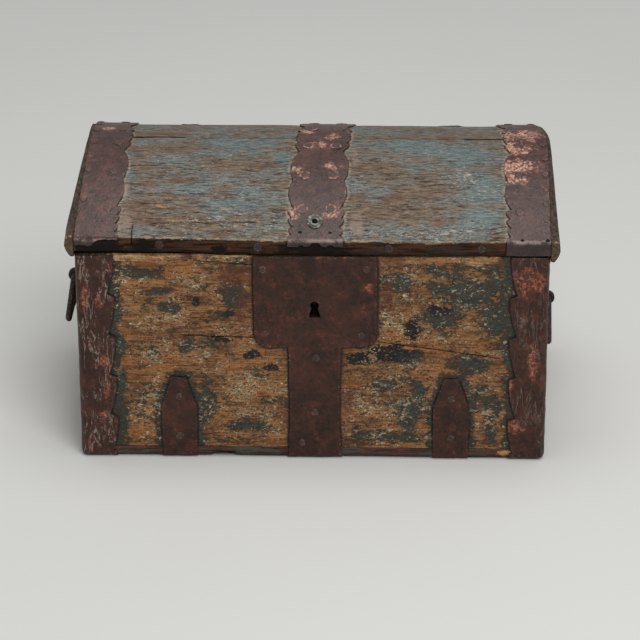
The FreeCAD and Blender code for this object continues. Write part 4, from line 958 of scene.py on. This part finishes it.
def dress_board(node, material, irons, shape=None, bevel=1.1 * MM, wear=0.9 * MM):
    """Wooden piece: uneven surface, arrises worn down in places."""
    bm, edges = refined(node, BOARD_STEP, bevel, shape)
    edge, iron, depth, rise = [bm.verts.layers.float[name] for name in ("edge", "iron", "depth", "rise")]
    moves = []
    for v in bm.verts:
        near = edges.find(v.co)[2]
        v[edge] = near / MM
        to_iron = irons.find_nearest(v.co, IRON_FAR * MM)[3]
        v[iron] = IRON_FAR if to_iron is None else to_iron / MM
        v[depth] = depth_of(v.co)
        v[rise] = v.co.z / MM - LID_Z
        knock = max(0.0, noise.noise(v.co / (17 * MM)) + 0.25 * noise.noise(v.co / (4 * MM)))
        fall = max(0.0, 1 - near / (3.2 * MM))
        moves.append(warp(v.co, body_of(node)) - v.normal * (wear * knock * fall * fall))
    for v, move in zip(bm.verts, moves):
        v.co += move
    stand_for(to_object(bm, "worn_" + node), node, material)


def on_fold(e):
    """Edges along which a lid strap is bent over the front edge of the lid."""
    a, b = [local(v.co) for v in e.verts]
    level = abs(a[1] - b[1]) < 0.5 and abs(a[2] - b[2]) < 0.5
    return level and a[1] < -LID_HALF_D - 0.5 * IRON and abs(a[2] - EDGE_TOP) < 3


def curl(p, near):
    """Edges of the irons on the box stand off the wood in places, away from the corners and the hinges."""
    x, y, z = local(p)
    to_side, to_face = BOX_HALF_W - abs(x), BOX_HALF_D - abs(y)
    out = Vector((0, math.copysign(1, y), 0)) if to_face < to_side else Vector((math.copysign(1, x), 0, 0))
    free = fade((max(to_side, to_face) - 6) / 6) * fade((z - 12) / 8) * fade((150 - z) / 8)
    loose = max(0.0, noise.noise(p / (20 * MM) + Vector((5, 2, 7))) + 0.2)
    return out * (EDGE_LIFT * MM * loose * free * max(0.0, 1 - near / (LIFT_REACH * MM)) ** 2)


def dress_iron(node, material, shape=None, arris=None, step=2.2 * MM, bevel=0.35 * MM, hammer=0.3 * MM,
               ragged=0.3 * MM):
    """Forged sheet or bar: hammered faces and a slightly ragged outline, but a clean keyhole."""
    bm, edges = refined(node, step, bevel, shape, arris)
    edge = bm.verts.layers.float["edge"]
    moves = []
    for v in bm.verts:
        near = edges.find(v.co)[2]
        v[edge] = near / MM
        x, _, z = local(v.co)
        off_keyhole = fade((math.hypot(x - KEYHOLE[0], z - KEYHOLE[1]) - KEYHOLE_R) / 5)
        fall = max(0.0, 1 - near / (4 * MM)) * off_keyhole
        dent = noise.noise(v.co / (9 * MM) + Vector((3, 1, 8)))
        nibble = noise.noise_vector(v.co / (5 * MM) + Vector((1, 9, 4)))
        moves.append(warp(v.co, body_of(node)) + v.normal * (hammer * dent) + nibble * (ragged * fall))
        if node in BOX_IRONS:
            moves[-1] += curl(v.co, near)
    for v, move in zip(bm.verts, moves):
        v.co += move
    stand_for(to_object(bm, "forged_" + node), node, material)


def islands(bm):
    """Points of each separate shell of a mesh."""
    seen = set()
    for first in bm.verts:
        if first in seen:
            continue
        group, stack = [], [first]
        seen.add(first)
        while stack:
            v = stack.pop()
            group.append(v.co.copy())
            others = [e.other_vert(v) for e in v.link_edges]
            stack += [o for o in others if o not in seen]
            seen.update(others)
        yield np.array(group)


def nails_of(node):
    """Foot of the head, outward direction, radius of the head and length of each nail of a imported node."""
    bm = bmesh.new()
    bm.from_mesh(frame["nodes"][node].data)
    bmesh.ops.remove_doubles(bm, verts=bm.verts, dist=WELD)
    found = []
    for points in islands(bm):
        middle = points.mean(axis=0)
        out = np.linalg.svd(points - middle)[2][0]
        heights = (points - middle) @ out
        if heights.max() > -heights.min():
            out, heights = -out, -heights
        radius = np.linalg.norm(points - middle - np.outer(heights, out), axis=1).max()
        foot = heights.max() - radius / HEAD_R * HEAD_H
        found.append((Vector(middle + foot * out), Vector(out), radius, foot - heights.min()))
    bm.free()
    return found


def rose_head(bm, foot, out, radius, rise, length, seed):
    """Forged nail with a head beaten nearly flat: uneven rim, low crown, square tapering shank."""
    edge = bm.verts.layers.float["edge"]
    side = out.orthogonal().normalized()
    up = out.cross(side)

    def ring(part, height, corners):
        points = []
        for i in range(corners):
            a = 2 * math.pi * i / corners
            uneven = 1 + 0.2 * noise.noise(Vector((1.4 * math.cos(a), 1.4 * math.sin(a), 3.3 * seed)))
            bump = 0.12 * MM * noise.noise(Vector((3 * math.cos(a), 3 * math.sin(a), 5 * part + seed)))
            flat = side * math.cos(a) + up * math.sin(a)
            v = bm.verts.new(foot + flat * (radius * part * uneven) + out * (height + bump))
            v[edge] = radius * (1 - part) / MM
            points.append(v)
        return points

    def join(rings):
        for a, b in zip(rings, rings[1:]):
            for i in range(len(a)):
                j = (i + 1) % len(a)
                bm.faces.new((a[i], a[j], b[j], b[i]))
        bm.faces.new(rings[0][::-1])
        bm.faces.new(rings[-1])

    head = ((0.9, -0.5 * MM), (1.0, 0.35 * rise), (0.9, 0.7 * rise), (0.6, 0.9 * rise), (0.25, rise))
    join([ring(part, height, corners=14) for part, height in head])
    join([ring(part, height, corners=4) for part, height in ((0.1, -length), (0.3, -0.3 * MM))])


def dress_nails(node, material, rise, spread=1.0):
    bm = bmesh.new()
    for name in LAYERS:
        bm.verts.layers.float.new(name)
    for i, (foot, out, radius, length) in enumerate(nails_of(node)):
        foot += warp(foot, body_of(node))
        rose_head(bm, foot, out, radius * spread, rise, length, i + len(node))
    bmesh.ops.recalc_face_normals(bm, faces=bm.faces)
    stand_for(to_object(bm, "forged_" + node), node, material)


# Stage

def add_camera():
    data = bpy.data.cameras.new("camera")
    data.sensor_width = SENSOR_MM
    data.lens = FOCAL_PIXELS / IMAGE_SIDE * SENSOR_MM
    camera = new_object("camera", data)
    camera.location = Vector(CAMERA_PLACE) * MM
    turns = ((-CAMERA_YAW, "Z"), (90 - CAMERA_PITCH, "X"), (CAMERA_ROLL, "Z"))
    yaw, pitch, roll = [Matrix.Rotation(math.radians(angle), 3, axis) for angle, axis in turns]
    camera.rotation_euler = (yaw @ pitch @ roll).to_euler()
    bpy.context.scene.camera = camera


def add_floor():
    mesh = bpy.data.meshes.new("floor")
    corners = [(FLOOR_HALF * x, FLOOR_HALF * y, 0) for x, y in ((-1, -1), (1, -1), (1, 1), (-1, 1))]
    mesh.from_pydata(corners, [], [(0, 1, 2, 3)])
    floor = new_object("floor", mesh)
    c = Coat("floor_paper")
    soft = c.noise(400, 2, 0.5, 31)
    colour = c.mix(tone("paper_dark"), tone("paper"), soft)
    grain = c.noise(2, 2, 0.5, 32)
    mesh.materials.append(c.finish(colour, c.step(soft, -1.5, 1.0), grain, relief=0.02, specular=0.5))


def add_lamp(name, place, power):
    data = bpy.data.lights.new(name, "AREA")
    data.shape = "DISK"
    data.size = LAMP_SIZE
    data.energy = power
    lamp = new_object(name, data)
    lamp.location = place
    aim = Vector(LAMP_AIM) - lamp.location
    lamp.rotation_euler = aim.to_track_quat("-Z", "Y").to_euler()


def add_light():
    world = bpy.data.worlds.new("studio")
    world.use_nodes = True
    background = world.node_tree.nodes["Background"].inputs
    background["Color"].default_value = (1, 1, 1, 1)
    background["Strength"].default_value = WORLD_STRENGTH
    bpy.context.scene.world = world
    for name, place, power in LAMPS:
        add_lamp(name, place, power)
    bpy.context.scene.view_settings.view_transform = "Standard"


def dress_wood():
    irons = iron_tree()
    end_wood = box_wood("end_wood", 1, front=False)
    top_wood = lid_wood("lid_wood", 0, gable=False)
    gable_wood = lid_wood("gable_wood", 1, gable=True)
    dress_board("front_board", box_wood("front_wood", 0, front=True), irons, wear_front)
    dress_board("back_board", box_wood("long_wood", 0, front=False), irons)
    for node in END_BOARDS:
        dress_board(node, end_wood, irons)
    dress_board("bottom_board", base_wood(), irons, chip_base)
    dress_board("lid_front_board", top_wood, irons, cut_front_edge, wear=1.3 * MM)
    dress_board("lid_rear_board", top_wood, irons, open_seam)
    for node in LID_ENDS:
        dress_board(node, gable_wood, irons, round_gable, bevel=2.2 * MM)


def dress_ironwork():
    finish = {name: forged(name, **values) for name, values in FINISHES.items()}
    for node in BOX_IRONS:
        dress_iron(node, finish["box_iron"])
    folds = {"left_lid_strap": tear_fold, "centre_lid_strap": short_fold}
    for node in LID_IRONS:
        dress_iron(node, finish["lid_iron"], folds.get(node), on_fold)
    for node in BOX_NAILS:
        dress_nails(node, finish["box_nail"], rise=0.8 * MM)
    dress_nails("lid_strap_nails", finish["lid_nail"], rise=0.7 * MM, spread=1.15)
    dress_nails("hinge_leaf_nails", finish["lid_nail"], rise=0.7 * MM)
    dress_nails("lid_edge_nails", finish["dark_iron"], rise=0.5 * MM, spread=1.1)
    for node in HANDLES + DARK_SMALL:
        dress_iron(node, finish["dark_iron"], hammer=0, **SMALL)
    for node in LOCK:
        iron = finish["shade_iron" if node in LOCK_SHADED else "lock_iron"]
        dress_iron(node, iron, hammer=LOCK_HAMMER, **SMALL)
    # The staple in the washer is near black: painted shade in its hole
    dress_iron("lid_staple", finish["shade_iron"], hammer=LOCK_HAMMER, **SMALL)
    dress_iron("staple_washer", finish["washer_brass"], hammer=LOCK_HAMMER, **SMALL)


def main():
    add_camera()
    dress_wood()
    dress_ironwork()
    add_floor()
    add_light()


main()
